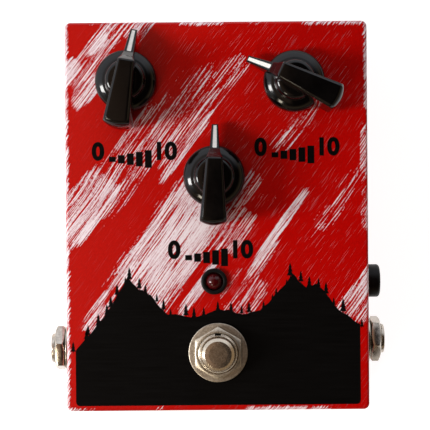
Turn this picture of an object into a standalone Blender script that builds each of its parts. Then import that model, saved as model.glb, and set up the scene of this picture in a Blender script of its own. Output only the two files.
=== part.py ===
"""Delay effect pedal: a die-cast floor box with three pointer knobs and a footswitch.

Metres, +Z up out of the control face, +Y towards the knob end, +X to the right.
The origin is on the floor under the middle of the box, at the feet's lower faces.
"""

import math

import bmesh
import bpy
from mathutils import Matrix

# Fits
SEAT = 0.0003
OVERRUN = 0.002
MERGE = 0.00001
SMOOTH_ANGLE = math.radians(35)

# Facet counts
KNOB_STEPS = 26
ROUND_STEPS = 20
HIDDEN_STEPS = 16
SMALL_STEPS = 12
CORNER_STEPS = 3

# Box
BOX_WIDTH = 0.0935
BOX_LENGTH = 0.1200
BOX_HEIGHT = 0.0340
WALL = 0.0023
TOP_PLATE = 0.0025
DRAFT = math.tan(math.radians(0.8))
CORNER_RADIUS = 0.0018
TOP_EDGE_RADIUS = 0.0009
LID_EDGE = 0.0040
LID_PLATE = 0.0024
LID_EDGE_RADIUS = 0.0010
TONGUE_THICKNESS = 0.0012
TONGUE_HEIGHT = 0.0015
TONGUE_CLEARANCE = 0.0005
POST_INSET = 0.0060
POST_RADIUS = 0.0042

# Lid screws
SCREW_HEAD_RADIUS = 0.0031
SCREW_HEAD_HEIGHT = 0.0018
SCREW_RADIUS = 0.0015
SCREW_LENGTH = 0.0110
SCREW_RECESS_WIDTH = 0.0008
SCREW_RECESS_SPAN = 0.0034
SCREW_RECESS_DEPTH = 0.0010
COUNTERSINK_CLEARANCE = 0.00045

# Rubber feet
FOOT_HEIGHT = 0.0030
FOOT_RADIUS = 0.0058
FOOT_TAPER = 0.0007
FOOT_ROUNDING = 0.0006
FOOT_INSET_X = 0.0145
FOOT_INSET_Y = 0.0150

# Pointer knobs: insets from the nearer side and from the back, and the way each pointer is turned at rest
TIME_INSETS = (0.01935, 0.0187)
LEVEL_INSETS = (0.02295, 0.0191)
MIDDLE_X = -0.0008
REPEATS_SHARE = 0.100833
KNOBS = {
    "time": {"x": TIME_INSETS[0] - BOX_WIDTH / 2, "y": BOX_LENGTH / 2 - TIME_INSETS[1],
             "turn": math.radians(-9.5)},
    "level": {"x": BOX_WIDTH / 2 - LEVEL_INSETS[0], "y": BOX_LENGTH / 2 - LEVEL_INSETS[1],
              "turn": math.radians(64)},
    "repeats": {"x": MIDDLE_X, "y": BOX_LENGTH * REPEATS_SHARE, "turn": math.radians(-1.5)},
}
KNOB_LIFT = 0.0008
KNOB_HEIGHT = 0.0160
SKIRT_RADIUS = 0.0094
SKIRT_RIM = 0.0025
SKIRT_FOOT_ROUNDING = 0.0003
SKIRT_HEIGHT = 0.0055
COLLAR_RADIUS = 0.0060
COLLAR_HEIGHT = 0.0090
# Collar, from its top: share of its radius, share of the way from the skirt's height to its own
COLLAR_SHARES = ((0.75, 1.0), (0.86, 0.94), (0.94, 0.82), (0.985, 0.60), (1.0, 0.18))
# Shoulder: share of the way from the collar out to the skirt's rim, share of the way up from the rim
SHOULDER_SHARES = ((0.07, 0.99), (0.36, 0.88), (0.66, 0.68), (0.88, 0.45), (0.985, 0.20), (1.0, 0.0))
NUT_WELL_RADIUS = 0.0072
NUT_WELL_DEPTH = 0.0038
SHAFT_BORE_DEPTH = 0.0078
TIP_REACH = 0.0158
TAIL_REACH = 0.0149
FRONT_REACH = 0.0052
BAR_FLOOR = 0.0016
BAR_TAIL_HALF = 0.00325
BAR_FRONT_HALF = 0.0019
BAR_TIP_HALF = 0.00085
TAIL_FACET = 0.0008
FRONT_FACET = 0.00055
NOSE_FACET = 0.00025
FACET_DROP_SHARE = 0.9
BAR_SIDE_SLOPE = math.tan(math.radians(1.0))
BAR_EDGE = 0.0004
BAR_EDGE_ANGLE = math.radians(50)
# Tail, from its end: share of the tail's reach, share of the knob's height
TAIL_SHARES = ((1.00, 0.76), (0.97, 0.89), (0.915, 0.965), (0.84, 1.00))
# Nose: share of the tip's reach, share of the knob's height, share of the width lost to the tip
NOSE_SHARES = ((0.43, 0.76, 0.35), (0.515, 0.60, 0.60), (1.00, 0.19, 1.00))
LINE_WIDTH = 0.0013
LINE_DEPTH = 0.0003
LINE_START_SHARE = 0.53
LINE_END_SHARE = 0.98
SET_SCREW_RADIUS = 0.0011
SET_SCREW_HEIGHT = 0.0070
SET_SCREW_SINK = 0.0004

# Potentiometers
SHAFT_RADIUS = 0.003175
SHAFT_CHAMFER = 0.0004
POT_BUSH_RADIUS = 0.0040
POT_BUSH_RISE = 0.0042
POT_FLANGE_RADIUS = 0.0080
POT_FLANGE = 0.0012
POT_CAN_RADIUS = 0.0084
POT_CAN_HEIGHT = 0.0062
POT_CAN_ROUNDING = 0.0006
POT_SHAFT_SOCKET = 0.0036
POT_WASHER_RADIUS = 0.0062
POT_WASHER = 0.0007
POT_NUT_FLATS = 0.0110
POT_NUT = 0.0022
WAFER_WIDTH = 0.0130
WAFER_REACH = 0.0120
WAFER_THICKNESS = 0.0014
PIN_WIDTH = 0.0011
PIN_THICKNESS = 0.0006
PIN_PITCH = 0.0050

# Footswitch
SWITCH_X = 0.0
SWITCH_INSET = 0.01825
SWITCH_Y = SWITCH_INSET - BOX_LENGTH / 2
SWITCH_BUSH_RADIUS = 0.0060
SWITCH_BUSH_RISE = 0.0053
SWITCH_BUSH_CHAMFER = 0.0004
KEYWAY_WIDTH = 0.0019
KEYWAY_DEPTH = 0.0005
SWITCH_FLANGE_RADIUS = 0.0080
SWITCH_FLANGE = 0.0010
SWITCH_WASHER_RADIUS = 0.00905
SWITCH_WASHER = 0.0009
WASHER_CHAMFER = 0.00025
SWITCH_NUT_FLATS = 0.0140
SWITCH_NUT = 0.0025
INNER_NUT = 0.0022
PLUNGER_RADIUS = 0.0050
PLUNGER_TOP_RADIUS = 0.00405
PLUNGER_CHAMFER_HEIGHT = 0.0008
PLUNGER_RISE = 0.0087
PLUNGER_TRAVEL = 0.0030
PLUNGER_END_GAP = 0.0007
SWITCH_BODY_SIDE = 0.0170
SWITCH_BODY_HEIGHT = 0.0115
SWITCH_BODY_ROUNDING = 0.0006
LUG_PITCH = 0.0047
LUG_WIDTH = 0.0022
LUG_THICKNESS = 0.0008
LUG_LENGTH = 0.0042
LUG_COUNT = 3

# Status light
LED_SHARE = -0.166667
LED_X = -0.00105
LED_Y = BOX_LENGTH * LED_SHARE
LED_RADIUS = 0.00253
LED_RIM_RADIUS = 0.0029
LED_RIM = 0.0010
LED_RISE = 0.0026
DOME_STEPS = 3
BEZEL_RADIUS = 0.0040
BEZEL_BARREL_RADIUS = 0.00345
BEZEL_RISE = 0.0011
BEZEL_ROUNDING = 0.0005
BEZEL_DEPTH = 0.0045

# Audio jacks, one on each side
JACK_HEIGHT = 0.0205
JACK_INSETS = {"left": 0.0185, "right": 0.0207}
JACK_BUSH_RADIUS = 0.00475
JACK_BORE_RADIUS = 0.00325
JACK_BUSH_RISE = 0.0059
JACK_BUSH_CHAMFER = 0.0004
JACK_WASHER_RADIUS = 0.0074
JACK_WASHER = 0.0009
JACK_NUT_FLATS = 0.0127
JACK_NUT = 0.0031
JACK_NUT_TURNS = {"left": math.radians(15), "right": math.radians(13)}
JACK_PLATE_SIDE = 0.0154
JACK_PLATE = 0.0012
ARM_LENGTH = 0.0120
ARM_WIDTH = 0.0080
ARM_THICKNESS = 0.0009
STACK_LENGTH = 0.0070
STACK_WIDTH = 0.0080
STACK_INNER = 0.0040
STACK_SETBACK = 0.0018
LEAF_WIDTH = 0.0046
LEAF_THICKNESS = 0.0004
LEAF_REACH = 0.0215
LEAF_DIP = 0.0030
# Tip contact: share of its reach, share of the way from its clamp down to the dip
LEAF_SHARES = ((0.0, 0.0), (0.46, 0.0), (0.62, -0.2), (0.80, 0.92), (0.84, 1.0), (0.88, 0.92), (1.0, 0.3))

# Power jack, on the right side
POWER_SPACING = 0.0184
POWER_FLANGE_RADIUS = 0.0052
POWER_RISE = 0.0047
POWER_ROUNDING = 0.0010
POWER_BARREL_RADIUS = 0.0039
POWER_BARREL_DEPTH = 0.0115
POWER_SOCKET_RADIUS = 0.00285
POWER_SOCKET_DEPTH = 0.0100
POWER_PIN_RADIUS = 0.00105
POWER_PIN_LENGTH = 0.0086
POWER_NUT_FLATS = 0.0110
POWER_NUT = 0.0020
TERMINAL_WIDTH = 0.0020
TERMINAL_THICKNESS = 0.0006
TERMINAL_LENGTH = 0.0040
TERMINAL_OFFSET = 0.0022

# Circuit board and what it carries on its underside
BOARD_WIDTH = 0.0700
BOARD_BACK_GAP = 0.0087
BOARD_MARGIN = 0.0021
BOARD_THICKNESS = 0.0016
BOARD_DROP = 0.0105
# Places on the board are shares of its width from its middle and of its length from its front edge
CHIPS = {
    "delay_chip": {"x_share": 0.09, "y_share": 0.69, "length": 0.0196, "pins": 8},
    "opamp_chip": {"x_share": -0.29, "y_share": 0.43, "length": 0.0096, "pins": 4},
}
CHIP_WIDTH = 0.0064
CHIP_THICKNESS = 0.0034
CHIP_STAND = 0.0006
CHIP_PIN_PITCH = 0.00254
CHIP_PIN_WIDTH = 0.0006
CHIP_PIN_REACH = 0.0009
CAPACITOR_SHARES = (0.36, 0.33)
CAPACITOR_RADIUS = 0.0040
CAPACITOR_HEIGHT = 0.0110
CAPACITOR_ROUNDING = 0.0005
REGULATOR_SHARES = (0.20, 0.32)
REGULATOR_RADIUS = 0.0024
REGULATOR_HEIGHT = 0.0046
REGULATOR_FLAT_SHARE = 0.45

# Hook-up wires
WIRE_RADIUS = 0.0006
WIRE_ROUND_STEPS = 2
WIRE_ROUTE_STEPS = 3

# Levels, from the floor up
LID_BOTTOM = FOOT_HEIGHT
LID_TOP = LID_BOTTOM + LID_EDGE
SHELL_BOTTOM = LID_TOP + SEAT
FACE = LID_BOTTOM + BOX_HEIGHT
CEILING = FACE - TOP_PLATE
KNOB_BOTTOM = FACE + KNOB_LIFT
FLANGE_TOP = CEILING - SEAT
FLANGE_BOTTOM = FLANGE_TOP - POT_FLANGE
CAN_TOP = FLANGE_BOTTOM - SEAT
BOARD_TOP = CEILING - BOARD_DROP
BOARD_BOTTOM = BOARD_TOP - BOARD_THICKNESS
SWITCH_NUT_TOP = CEILING - SEAT
SWITCH_FLANGE_TOP = SWITCH_NUT_TOP - INNER_NUT - SEAT
SWITCH_BODY_TOP = SWITCH_FLANGE_TOP - SWITCH_FLANGE - SEAT
SHAFT_BORE_RADIUS = SHAFT_RADIUS + SEAT
SHAFT_TOP = SHAFT_BORE_DEPTH - SEAT

# Places along the box, from the front edge back
JACK_Y = {side: inset - BOX_LENGTH / 2 for side, inset in JACK_INSETS.items()}
POWER_Y = JACK_Y["right"] + POWER_SPACING
BOARD_FRONT = KNOBS["repeats"]["y"] - WAFER_REACH - BOARD_MARGIN
BOARD_BACK = BOX_LENGTH / 2 - WALL - BOARD_BACK_GAP

COLOURS = {
    "red_enamel": ((0.55, 0.010, 0.008), 0.35, 0.0),
    "zinc_steel": ((0.55, 0.55, 0.55), 0.35, 1.0),
    "nickel": ((0.70, 0.66, 0.61), 0.25, 1.0),
    "brass": ((0.70, 0.52, 0.22), 0.30, 1.0),
    "black_phenolic": ((0.010, 0.010, 0.010), 0.15, 0.0),
    "black_plastic": ((0.015, 0.015, 0.016), 0.40, 0.0),
    "blue_plastic": ((0.02, 0.09, 0.35), 0.45, 0.0),
    "brown_laminate": ((0.22, 0.11, 0.04), 0.60, 0.0),
    "green_laminate": ((0.01, 0.14, 0.05), 0.40, 0.0),
    "dark_red_epoxy": ((0.12, 0.004, 0.006), 0.10, 0.0),
    "rubber": ((0.02, 0.02, 0.02), 0.80, 0.0),
    "wire_red": ((0.45, 0.01, 0.01), 0.50, 0.0),
    "wire_white": ((0.75, 0.75, 0.72), 0.50, 0.0),
}


def clear_scene():
    for old in list(bpy.data.objects):
        bpy.data.objects.remove(old)


def material(name):
    """The named finish, made once."""
    if name in bpy.data.materials:
        return bpy.data.materials[name]
    colour, roughness, metallic = COLOURS[name]
    made = bpy.data.materials.new(name)
    made.use_nodes = True
    shader = made.node_tree.nodes["Principled BSDF"]
    shader.inputs["Base Color"].default_value = (*colour, 1.0)
    shader.inputs["Roughness"].default_value = roughness
    shader.inputs["Metallic"].default_value = metallic
    made.diffuse_color = (*colour, 1.0)
    return made


def collection(name):
    made = bpy.data.collections.new(name)
    bpy.context.scene.collection.children.link(made)
    return made


def work_object(mesh):
    """A mesh as an object in the workshop collection, for a modifier to act on."""
    made = bpy.data.objects.new("work", mesh)
    made.hide_render = True
    made.display_type = "WIRE"
    bpy.data.collections["workshop"].objects.link(made)
    return made


def baked(source):
    """The mesh that an object's modifiers give; the object is removed."""
    graph = bpy.context.evaluated_depsgraph_get()
    mesh = bpy.data.meshes.new_from_object(source.evaluated_get(graph))
    bpy.data.objects.remove(source)
    return mesh


def boolean(mesh, other, operation):
    body = work_object(mesh)
    tool = work_object(other)
    step = body.modifiers.new(operation.lower(), "BOOLEAN")
    step.operation = operation
    step.solver = "EXACT"
    step.object = tool
    result = baked(body)
    bpy.data.objects.remove(tool)
    return result


def joined(mesh, *others):
    for other in others:
        mesh = boolean(mesh, other, "UNION")
    return mesh


def cut(mesh, *tools):
    for tool in tools:
        mesh = boolean(mesh, tool, "DIFFERENCE")
    return mesh


def common(mesh, other):
    return boolean(mesh, other, "INTERSECT")


def moved(mesh, x=0.0, y=0.0, z=0.0, turn=None):
    """The mesh turned by a matrix and then shifted."""
    if turn is not None:
        mesh.transform(turn)
    mesh.transform(Matrix.Translation((x, y, z)))
    return mesh


def turned(profile, steps=ROUND_STEPS):
    """Revolves (radius, height) points about Z; they run down the outer side."""
    mesh = bpy.data.meshes.new("turned")
    count = len(profile)
    edges = [(i, i + 1) for i in range(count - 1)]
    ring = profile[0][0] > 0.0
    if ring:
        edges.append((count - 1, 0))
    mesh.from_pydata([(radius, 0.0, height) for radius, height in profile], edges, [])
    source = work_object(mesh)
    screw = source.modifiers.new("turn", "SCREW")
    screw.axis = "Z"
    screw.angle = math.tau
    screw.steps = steps
    screw.render_steps = steps
    screw.use_merge_vertices = True
    screw.merge_threshold = MERGE
    return baked(source)


def rod(radius, bottom, top, steps=ROUND_STEPS):
    return turned([(0.0, top), (radius, top), (radius, bottom), (0.0, bottom)], steps)


def tube(radius, bore, bottom, top, chamfer=0.0, steps=ROUND_STEPS):
    """A ring, its upper outer rim chamfered if asked."""
    if chamfer == 0.0:
        return turned([(bore, top), (radius, top), (radius, bottom), (bore, bottom)], steps)
    return turned([(bore, top), (radius - chamfer, top), (radius, top - chamfer), (radius, bottom),
                   (bore, bottom)], steps)


def block(width, length, bottom, top, x=0.0, y=0.0, rounding=0.0):
    """An upright box centred on x and y, with its edges rounded off if asked."""
    shape = bmesh.new()
    bmesh.ops.create_cube(shape, size=1.0)
    bmesh.ops.scale(shape, vec=(width, length, top - bottom), verts=shape.verts)
    bmesh.ops.translate(shape, vec=(x, y, (top + bottom) / 2), verts=shape.verts)
    if rounding > 0.0:
        bmesh.ops.bevel(shape, geom=shape.edges[:], offset=rounding, segments=2, profile=0.5,
                        affect="EDGES")
    return to_mesh(shape)


def blocks(boxes):
    """Several boxes that don't meet, as one mesh."""
    shape = bmesh.new()
    for width, length, bottom, top, x, y in boxes:
        part = bmesh.ops.create_cube(shape, size=1.0)["verts"]
        bmesh.ops.scale(shape, vec=(width, length, top - bottom), verts=part)
        bmesh.ops.translate(shape, vec=(x, y, (top + bottom) / 2), verts=part)
    return to_mesh(shape)


def drafted_block(width, length, bottom, top, corner, rim_radius, rim):
    """A box whose walls lean in towards the top, with round corners and one round rim."""
    shape = bmesh.new()
    bmesh.ops.create_cube(shape, size=1.0)
    lean = DRAFT * (top - bottom)
    for vert in shape.verts:
        side = 2 * vert.co.z
        shrink = lean if side > 0 and rim == "top" else 0.0
        vert.co.x *= width - 2 * shrink
        vert.co.y *= length - 2 * shrink
        vert.co.z = top if side > 0 else bottom
    middle = (top + bottom) / 2
    upright = [e for e in shape.edges if (e.verts[0].co.z - middle) * (e.verts[1].co.z - middle) < 0]
    bmesh.ops.bevel(shape, geom=upright, offset=corner, segments=CORNER_STEPS, profile=0.5,
                    affect="EDGES")
    if rim_radius > 0.0:
        level = top if rim == "top" else bottom
        around = [e for e in shape.edges if all(abs(v.co.z - level) < MERGE for v in e.verts)]
        bmesh.ops.bevel(shape, geom=around, offset=rim_radius, segments=3, profile=0.5,
                        affect="EDGES")
    return to_mesh(shape)


def to_mesh(shape):
    mesh = bpy.data.meshes.new("shape")
    bmesh.ops.recalc_face_normals(shape, faces=shape.faces)
    shape.to_mesh(mesh)
    shape.free()
    return mesh


def piece(name, mesh, finish, parent=None, x=0.0, y=0.0, z=0.0):
    """A finished piece: named, coloured, smooth where it is round, and placed."""
    mesh.name = name
    mesh.materials.clear()
    mesh.materials.append(material(finish))
    mesh.shade_smooth()
    mesh.set_sharp_from_angle(angle=SMOOTH_ANGLE)
    made = bpy.data.objects.new(name, mesh)
    made.location = (x, y, z)
    made.parent = parent
    bpy.data.collections["delay_pedal"].objects.link(made)
    return made


def marker(name, x, y, z, rotation=(0.0, 0.0, 0.0)):
    """An empty that carries pieces sharing one axis."""
    made = bpy.data.objects.new(name, None)
    made.location = (x, y, z)
    made.rotation_euler = rotation
    bpy.data.collections["delay_pedal"].objects.link(made)
    return made


def hex_nut(flats, height, hole, chamfered=True):
    """A nut from z 0 up, corners on the Y axis, its corners chamfered at both faces if it shows."""
    corner = flats / math.sqrt(3)
    chamfer = corner - flats / 2
    shape = bmesh.new()
    bmesh.ops.create_cone(shape, cap_ends=True, segments=6, radius1=corner, radius2=corner, depth=height)
    bmesh.ops.translate(shape, vec=(0.0, 0.0, height / 2), verts=shape.verts)
    if not chamfered:
        return cut(to_mesh(shape), rod(hole, -OVERRUN, height + OVERRUN, HIDDEN_STEPS))
    outer = corner + MERGE
    relief = chamfer / 2
    lens = turned([(0.0, height + MERGE), (corner - chamfer, height + MERGE), (outer, height - relief),
                   (outer, relief), (corner - chamfer, -MERGE), (0.0, -MERGE)])
    return cut(common(to_mesh(shape), lens), rod(hole, -OVERRUN, height + OVERRUN))


def half_width_at(height):
    """Half the box's outer width at a height above the floor."""
    return BOX_WIDTH / 2 - DRAFT * (height - SHELL_BOTTOM)


def corner_places():
    """The four fixing posts, anticlockwise from the front right."""
    across = BOX_WIDTH / 2 - POST_INSET
    along = BOX_LENGTH / 2 - POST_INSET
    return [(across, -along), (across, along), (-across, along), (-across, -along)]


def side_turn(side):
    """The rotation that points an upright piece out of the left or right wall."""
    return (math.pi / 2, 0.0, math.pi / 2 if side == "right" else -math.pi / 2)


def side_hole(side, radius, y):
    """A cutter through one side wall."""
    tool = rod(radius, -OVERRUN - 2 * WALL, OVERRUN)
    sign = 1.0 if side == "right" else -1.0
    tool.transform(Matrix.Rotation(sign * math.pi / 2, 4, "Y"))
    return moved(tool, x=sign * BOX_WIDTH / 2, y=y, z=JACK_HEIGHT)


def make_enclosure():
    shell = drafted_block(BOX_WIDTH, BOX_LENGTH, SHELL_BOTTOM, FACE, CORNER_RADIUS, TOP_EDGE_RADIUS, "top")
    cavity = drafted_block(BOX_WIDTH - 2 * WALL, BOX_LENGTH - 2 * WALL, SHELL_BOTTOM - OVERRUN, CEILING,
                           CORNER_RADIUS / 2, TOP_EDGE_RADIUS / 2, "top")
    shell = cut(shell, cavity)
    for x, y in corner_places():
        post = rod(POST_RADIUS, SHELL_BOTTOM, CEILING + TOP_PLATE / 2, SMALL_STEPS)
        shell = joined(shell, moved(post, x, y))
    pilot = SCREW_RADIUS + SEAT
    pilot_top = LID_BOTTOM + SCREW_LENGTH + 2 * SEAT
    for x, y in corner_places():
        shell = cut(shell, moved(rod(pilot, SHELL_BOTTOM - OVERRUN, pilot_top, SMALL_STEPS), x, y))
    for knob in KNOBS.values():
        shell = cut(shell, moved(face_hole(POT_BUSH_RADIUS + SEAT), knob["x"], knob["y"]))
    shell = cut(shell, moved(face_hole(BEZEL_BARREL_RADIUS + SEAT), LED_X, LED_Y))
    shell = cut(shell, moved(face_hole(SWITCH_BUSH_RADIUS + SEAT), SWITCH_X, SWITCH_Y))
    for side, y in JACK_Y.items():
        shell = cut(shell, side_hole(side, JACK_BUSH_RADIUS + SEAT, y))
    shell = cut(shell, side_hole("right", POWER_BARREL_RADIUS + SEAT, POWER_Y))
    piece("enclosure_shell", shell, "red_enamel")


def face_hole(radius):
    return rod(radius, CEILING - OVERRUN, FACE + OVERRUN)


def make_lid():
    lid = drafted_block(BOX_WIDTH, BOX_LENGTH, LID_BOTTOM, LID_TOP, CORNER_RADIUS, LID_EDGE_RADIUS,
                        "bottom")
    border = WALL + TONGUE_CLEARANCE + TONGUE_THICKNESS
    pad = POST_INSET + POST_RADIUS + TONGUE_CLEARANCE
    floor = LID_BOTTOM + LID_PLATE
    lid = cut(lid, block(BOX_WIDTH - 2 * border, BOX_LENGTH - 2 * pad, floor, LID_TOP + OVERRUN),
              block(BOX_WIDTH - 2 * pad, BOX_LENGTH - 2 * border, floor, LID_TOP + OVERRUN))
    rib_x = BOX_WIDTH / 2 - border + TONGUE_THICKNESS / 2
    rib_y = BOX_LENGTH / 2 - border + TONGUE_THICKNESS / 2
    low = floor - LID_PLATE / 4
    high = LID_TOP + TONGUE_HEIGHT
    lid = joined(lid, blocks([
        (TONGUE_THICKNESS, BOX_LENGTH - 2 * pad - TONGUE_CLEARANCE, low, high, rib_x, 0.0),
        (TONGUE_THICKNESS, BOX_LENGTH - 2 * pad - TONGUE_CLEARANCE, low, high, -rib_x, 0.0),
        (BOX_WIDTH - 2 * pad - TONGUE_CLEARANCE, TONGUE_THICKNESS, low, high, 0.0, rib_y),
        (BOX_WIDTH - 2 * pad - TONGUE_CLEARANCE, TONGUE_THICKNESS, low, high, 0.0, -rib_y),
    ]))
    head = SCREW_HEAD_RADIUS + COUNTERSINK_CLEARANCE
    shank = SCREW_RADIUS + SEAT
    depth = LID_BOTTOM + SEAT + SCREW_HEAD_HEIGHT
    for x, y in corner_places():
        sink = turned([(0.0, LID_TOP + OVERRUN), (shank, LID_TOP + OVERRUN), (shank, depth),
                       (head, LID_BOTTOM + SEAT), (head, LID_BOTTOM - OVERRUN),
                       (0.0, LID_BOTTOM - OVERRUN)], SMALL_STEPS)
        lid = cut(lid, moved(sink, x, y))
    piece("base_lid", lid, "red_enamel")


def make_lid_screws():
    bottom = LID_BOTTOM + SEAT
    neck = bottom + SCREW_HEAD_HEIGHT
    top = bottom + SCREW_LENGTH
    tip = SCREW_RADIUS / 2
    screw = turned([(0.0, top), (tip, top), (SCREW_RADIUS, top - tip), (SCREW_RADIUS, neck),
                    (SCREW_HEAD_RADIUS, bottom), (0.0, bottom)], SMALL_STEPS)
    recess_top = bottom + SCREW_RECESS_DEPTH
    screw = cut(screw, block(SCREW_RECESS_SPAN, SCREW_RECESS_WIDTH, bottom - OVERRUN, recess_top),
                block(SCREW_RECESS_WIDTH, SCREW_RECESS_SPAN, bottom - OVERRUN, recess_top))
    for number, (x, y) in enumerate(corner_places(), 1):
        piece(f"lid_screw_{number}", screw, "zinc_steel", x=x, y=y)


def make_feet():
    top = FOOT_HEIGHT - SEAT
    low = FOOT_RADIUS - FOOT_TAPER
    foot = turned([(0.0, top), (FOOT_RADIUS, top), (low, FOOT_ROUNDING), (low - FOOT_ROUNDING, 0.0),
                   (0.0, 0.0)], HIDDEN_STEPS)
    across = BOX_WIDTH / 2 - FOOT_INSET_X
    along = BOX_LENGTH / 2 - FOOT_INSET_Y
    places = [(across, -along), (across, along), (-across, along), (-across, -along)]
    for number, (x, y) in enumerate(places, 1):
        piece(f"rubber_foot_{number}", foot, "rubber", x=x, y=y)


def knob_base():
    """The skirt with its sloping shoulder and the rounded collar in its middle, solid."""
    shoulder = [(COLLAR_RADIUS + (SKIRT_RADIUS - COLLAR_RADIUS) * out_share,
                 SKIRT_RIM + (SKIRT_HEIGHT - SKIRT_RIM) * up_share)
                for out_share, up_share in SHOULDER_SHARES]
    collar = [(COLLAR_RADIUS * radius_share, SKIRT_HEIGHT + (COLLAR_HEIGHT - SKIRT_HEIGHT) * up_share)
              for radius_share, up_share in COLLAR_SHARES]
    foot = [(SKIRT_RADIUS, SKIRT_FOOT_ROUNDING), (SKIRT_RADIUS - SKIRT_FOOT_ROUNDING, 0.0), (0.0, 0.0)]
    return turned([(0.0, COLLAR_HEIGHT)] + collar + shoulder + foot, KNOB_STEPS)


def bar_stations():
    """Stations of the pointer bar, tail to tip: (y, half width on top, facet width, height)."""
    stations = []
    for reach_share, height_share in TAIL_SHARES + ((-FRONT_REACH / TAIL_REACH, 1.0),):
        y = -TAIL_REACH * reach_share
        back_share = (FRONT_REACH - y) / (FRONT_REACH + TAIL_REACH)
        half = BAR_FRONT_HALF + (BAR_TAIL_HALF - BAR_FRONT_HALF) * back_share
        facet = FRONT_FACET + (TAIL_FACET - FRONT_FACET) * back_share
        stations.append((y, half, facet, KNOB_HEIGHT * height_share))
    for reach_share, height_share, narrowing_share in NOSE_SHARES:
        half = BAR_FRONT_HALF + (BAR_TIP_HALF - BAR_FRONT_HALF) * narrowing_share
        stations.append((TIP_REACH * reach_share, half, NOSE_FACET, KNOB_HEIGHT * height_share))
    return stations


def knob_bar():
    """A loft through six-cornered sections: a flat top, a facet along each side and near-upright walls."""
    shape = bmesh.new()
    rings = []
    for y, half, facet, height in bar_stations():
        side = height - facet * FACET_DROP_SHARE
        wall = half + facet
        foot = wall + BAR_SIDE_SLOPE * (side - BAR_FLOOR)
        rings.append([shape.verts.new(place) for place in (
            (-half, y, height), (half, y, height), (wall, y, side), (foot, y, BAR_FLOOR),
            (-foot, y, BAR_FLOOR), (-wall, y, side))])
    for back, front in zip(rings, rings[1:]):
        for i in range(len(back)):
            j = (i + 1) % len(back)
            shape.faces.new((back[i], back[j], front[j], front[i]))
    shape.faces.new(rings[0])
    shape.faces.new(rings[-1])
    bmesh.ops.recalc_face_normals(shape, faces=shape.faces)
    sharp = [e for e in shape.edges if e.calc_face_angle() > BAR_EDGE_ANGLE]
    bmesh.ops.bevel(shape, geom=sharp, offset=BAR_EDGE, segments=1, profile=0.5, affect="EDGES",
                    clamp_overlap=True)
    bmesh.ops.remove_doubles(shape, verts=shape.verts, dist=MERGE)
    return to_mesh(shape)


def nose_slope():
    """Height at the slope's start and end, and its y span, on the nose's long facet."""
    start = NOSE_SHARES[1]
    end = NOSE_SHARES[2]
    return (TIP_REACH * start[0], KNOB_HEIGHT * start[1]), (TIP_REACH * end[0], KNOB_HEIGHT * end[1])


def line_groove():
    """The cutter of the shallow slot for the white line, laid on the nose's slope."""
    (y0, z0), (y1, z1) = nose_slope()
    slope = (z1 - z0) / (y1 - y0)
    start = TIP_REACH * LINE_START_SHARE
    end = TIP_REACH * LINE_END_SHARE
    tool = block(LINE_WIDTH, (end - start) * math.hypot(1.0, slope), -LINE_DEPTH, LINE_DEPTH * 3)
    tilt = Matrix.Rotation(math.atan(slope), 4, "X")
    middle = (start + end) / 2
    return moved(tool, y=middle, z=z0 + slope * (middle - y0), turn=tilt)


def knob_mesh():
    """One moulded pointer knob about its own axis, pointer towards +Y, from z 0 up."""
    knob = joined(knob_base(), knob_bar())
    hollow = turned([
        (0.0, SHAFT_BORE_DEPTH), (SHAFT_BORE_RADIUS, SHAFT_BORE_DEPTH), (SHAFT_BORE_RADIUS, NUT_WELL_DEPTH),
        (NUT_WELL_RADIUS, NUT_WELL_DEPTH), (NUT_WELL_RADIUS, -OVERRUN), (0.0, -OVERRUN)], HIDDEN_STEPS)
    screw_hole = rod(SET_SCREW_RADIUS + SEAT, 0.0, SKIRT_RADIUS, SMALL_STEPS)
    screw_hole = moved(screw_hole, z=SET_SCREW_HEIGHT, turn=Matrix.Rotation(math.pi / 2, 4, "Y"))
    return cut(knob, hollow, screw_hole, line_groove())


def set_screw_mesh():
    """A grub screw in the collar, its tip just off the shaft."""
    start = SHAFT_RADIUS + SEAT
    end = COLLAR_RADIUS - SET_SCREW_SINK
    slot = block(SET_SCREW_RADIUS / 2, 2 * SET_SCREW_RADIUS + OVERRUN, end - SET_SCREW_RADIUS / 2,
                 end + OVERRUN)
    screw = cut(rod(SET_SCREW_RADIUS, start, end, SMALL_STEPS), slot)
    return moved(screw, z=SET_SCREW_HEIGHT, turn=Matrix.Rotation(math.pi / 2, 4, "Y"))


def shaft_mesh():
    """A plain round shaft, from the can up into the knob, in the knob's own heights."""
    bottom = CAN_TOP - POT_SHAFT_SOCKET + SEAT - KNOB_BOTTOM
    return turned([(0.0, SHAFT_TOP), (SHAFT_RADIUS - SHAFT_CHAMFER, SHAFT_TOP),
                   (SHAFT_RADIUS, SHAFT_TOP - SHAFT_CHAMFER), (SHAFT_RADIUS, bottom), (0.0, bottom)],
                  HIDDEN_STEPS)


def pot_bush_mesh():
    """The threaded bush with the flange that lies against the inside of the control face."""
    top = FACE + POT_BUSH_RISE
    bore = SHAFT_BORE_RADIUS
    return turned([(bore, top), (POT_BUSH_RADIUS - SHAFT_CHAMFER, top),
                   (POT_BUSH_RADIUS, top - SHAFT_CHAMFER), (POT_BUSH_RADIUS, FLANGE_TOP),
                   (POT_FLANGE_RADIUS, FLANGE_TOP),
                   (POT_FLANGE_RADIUS, FLANGE_BOTTOM), (bore, FLANGE_BOTTOM)], HIDDEN_STEPS)


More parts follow.
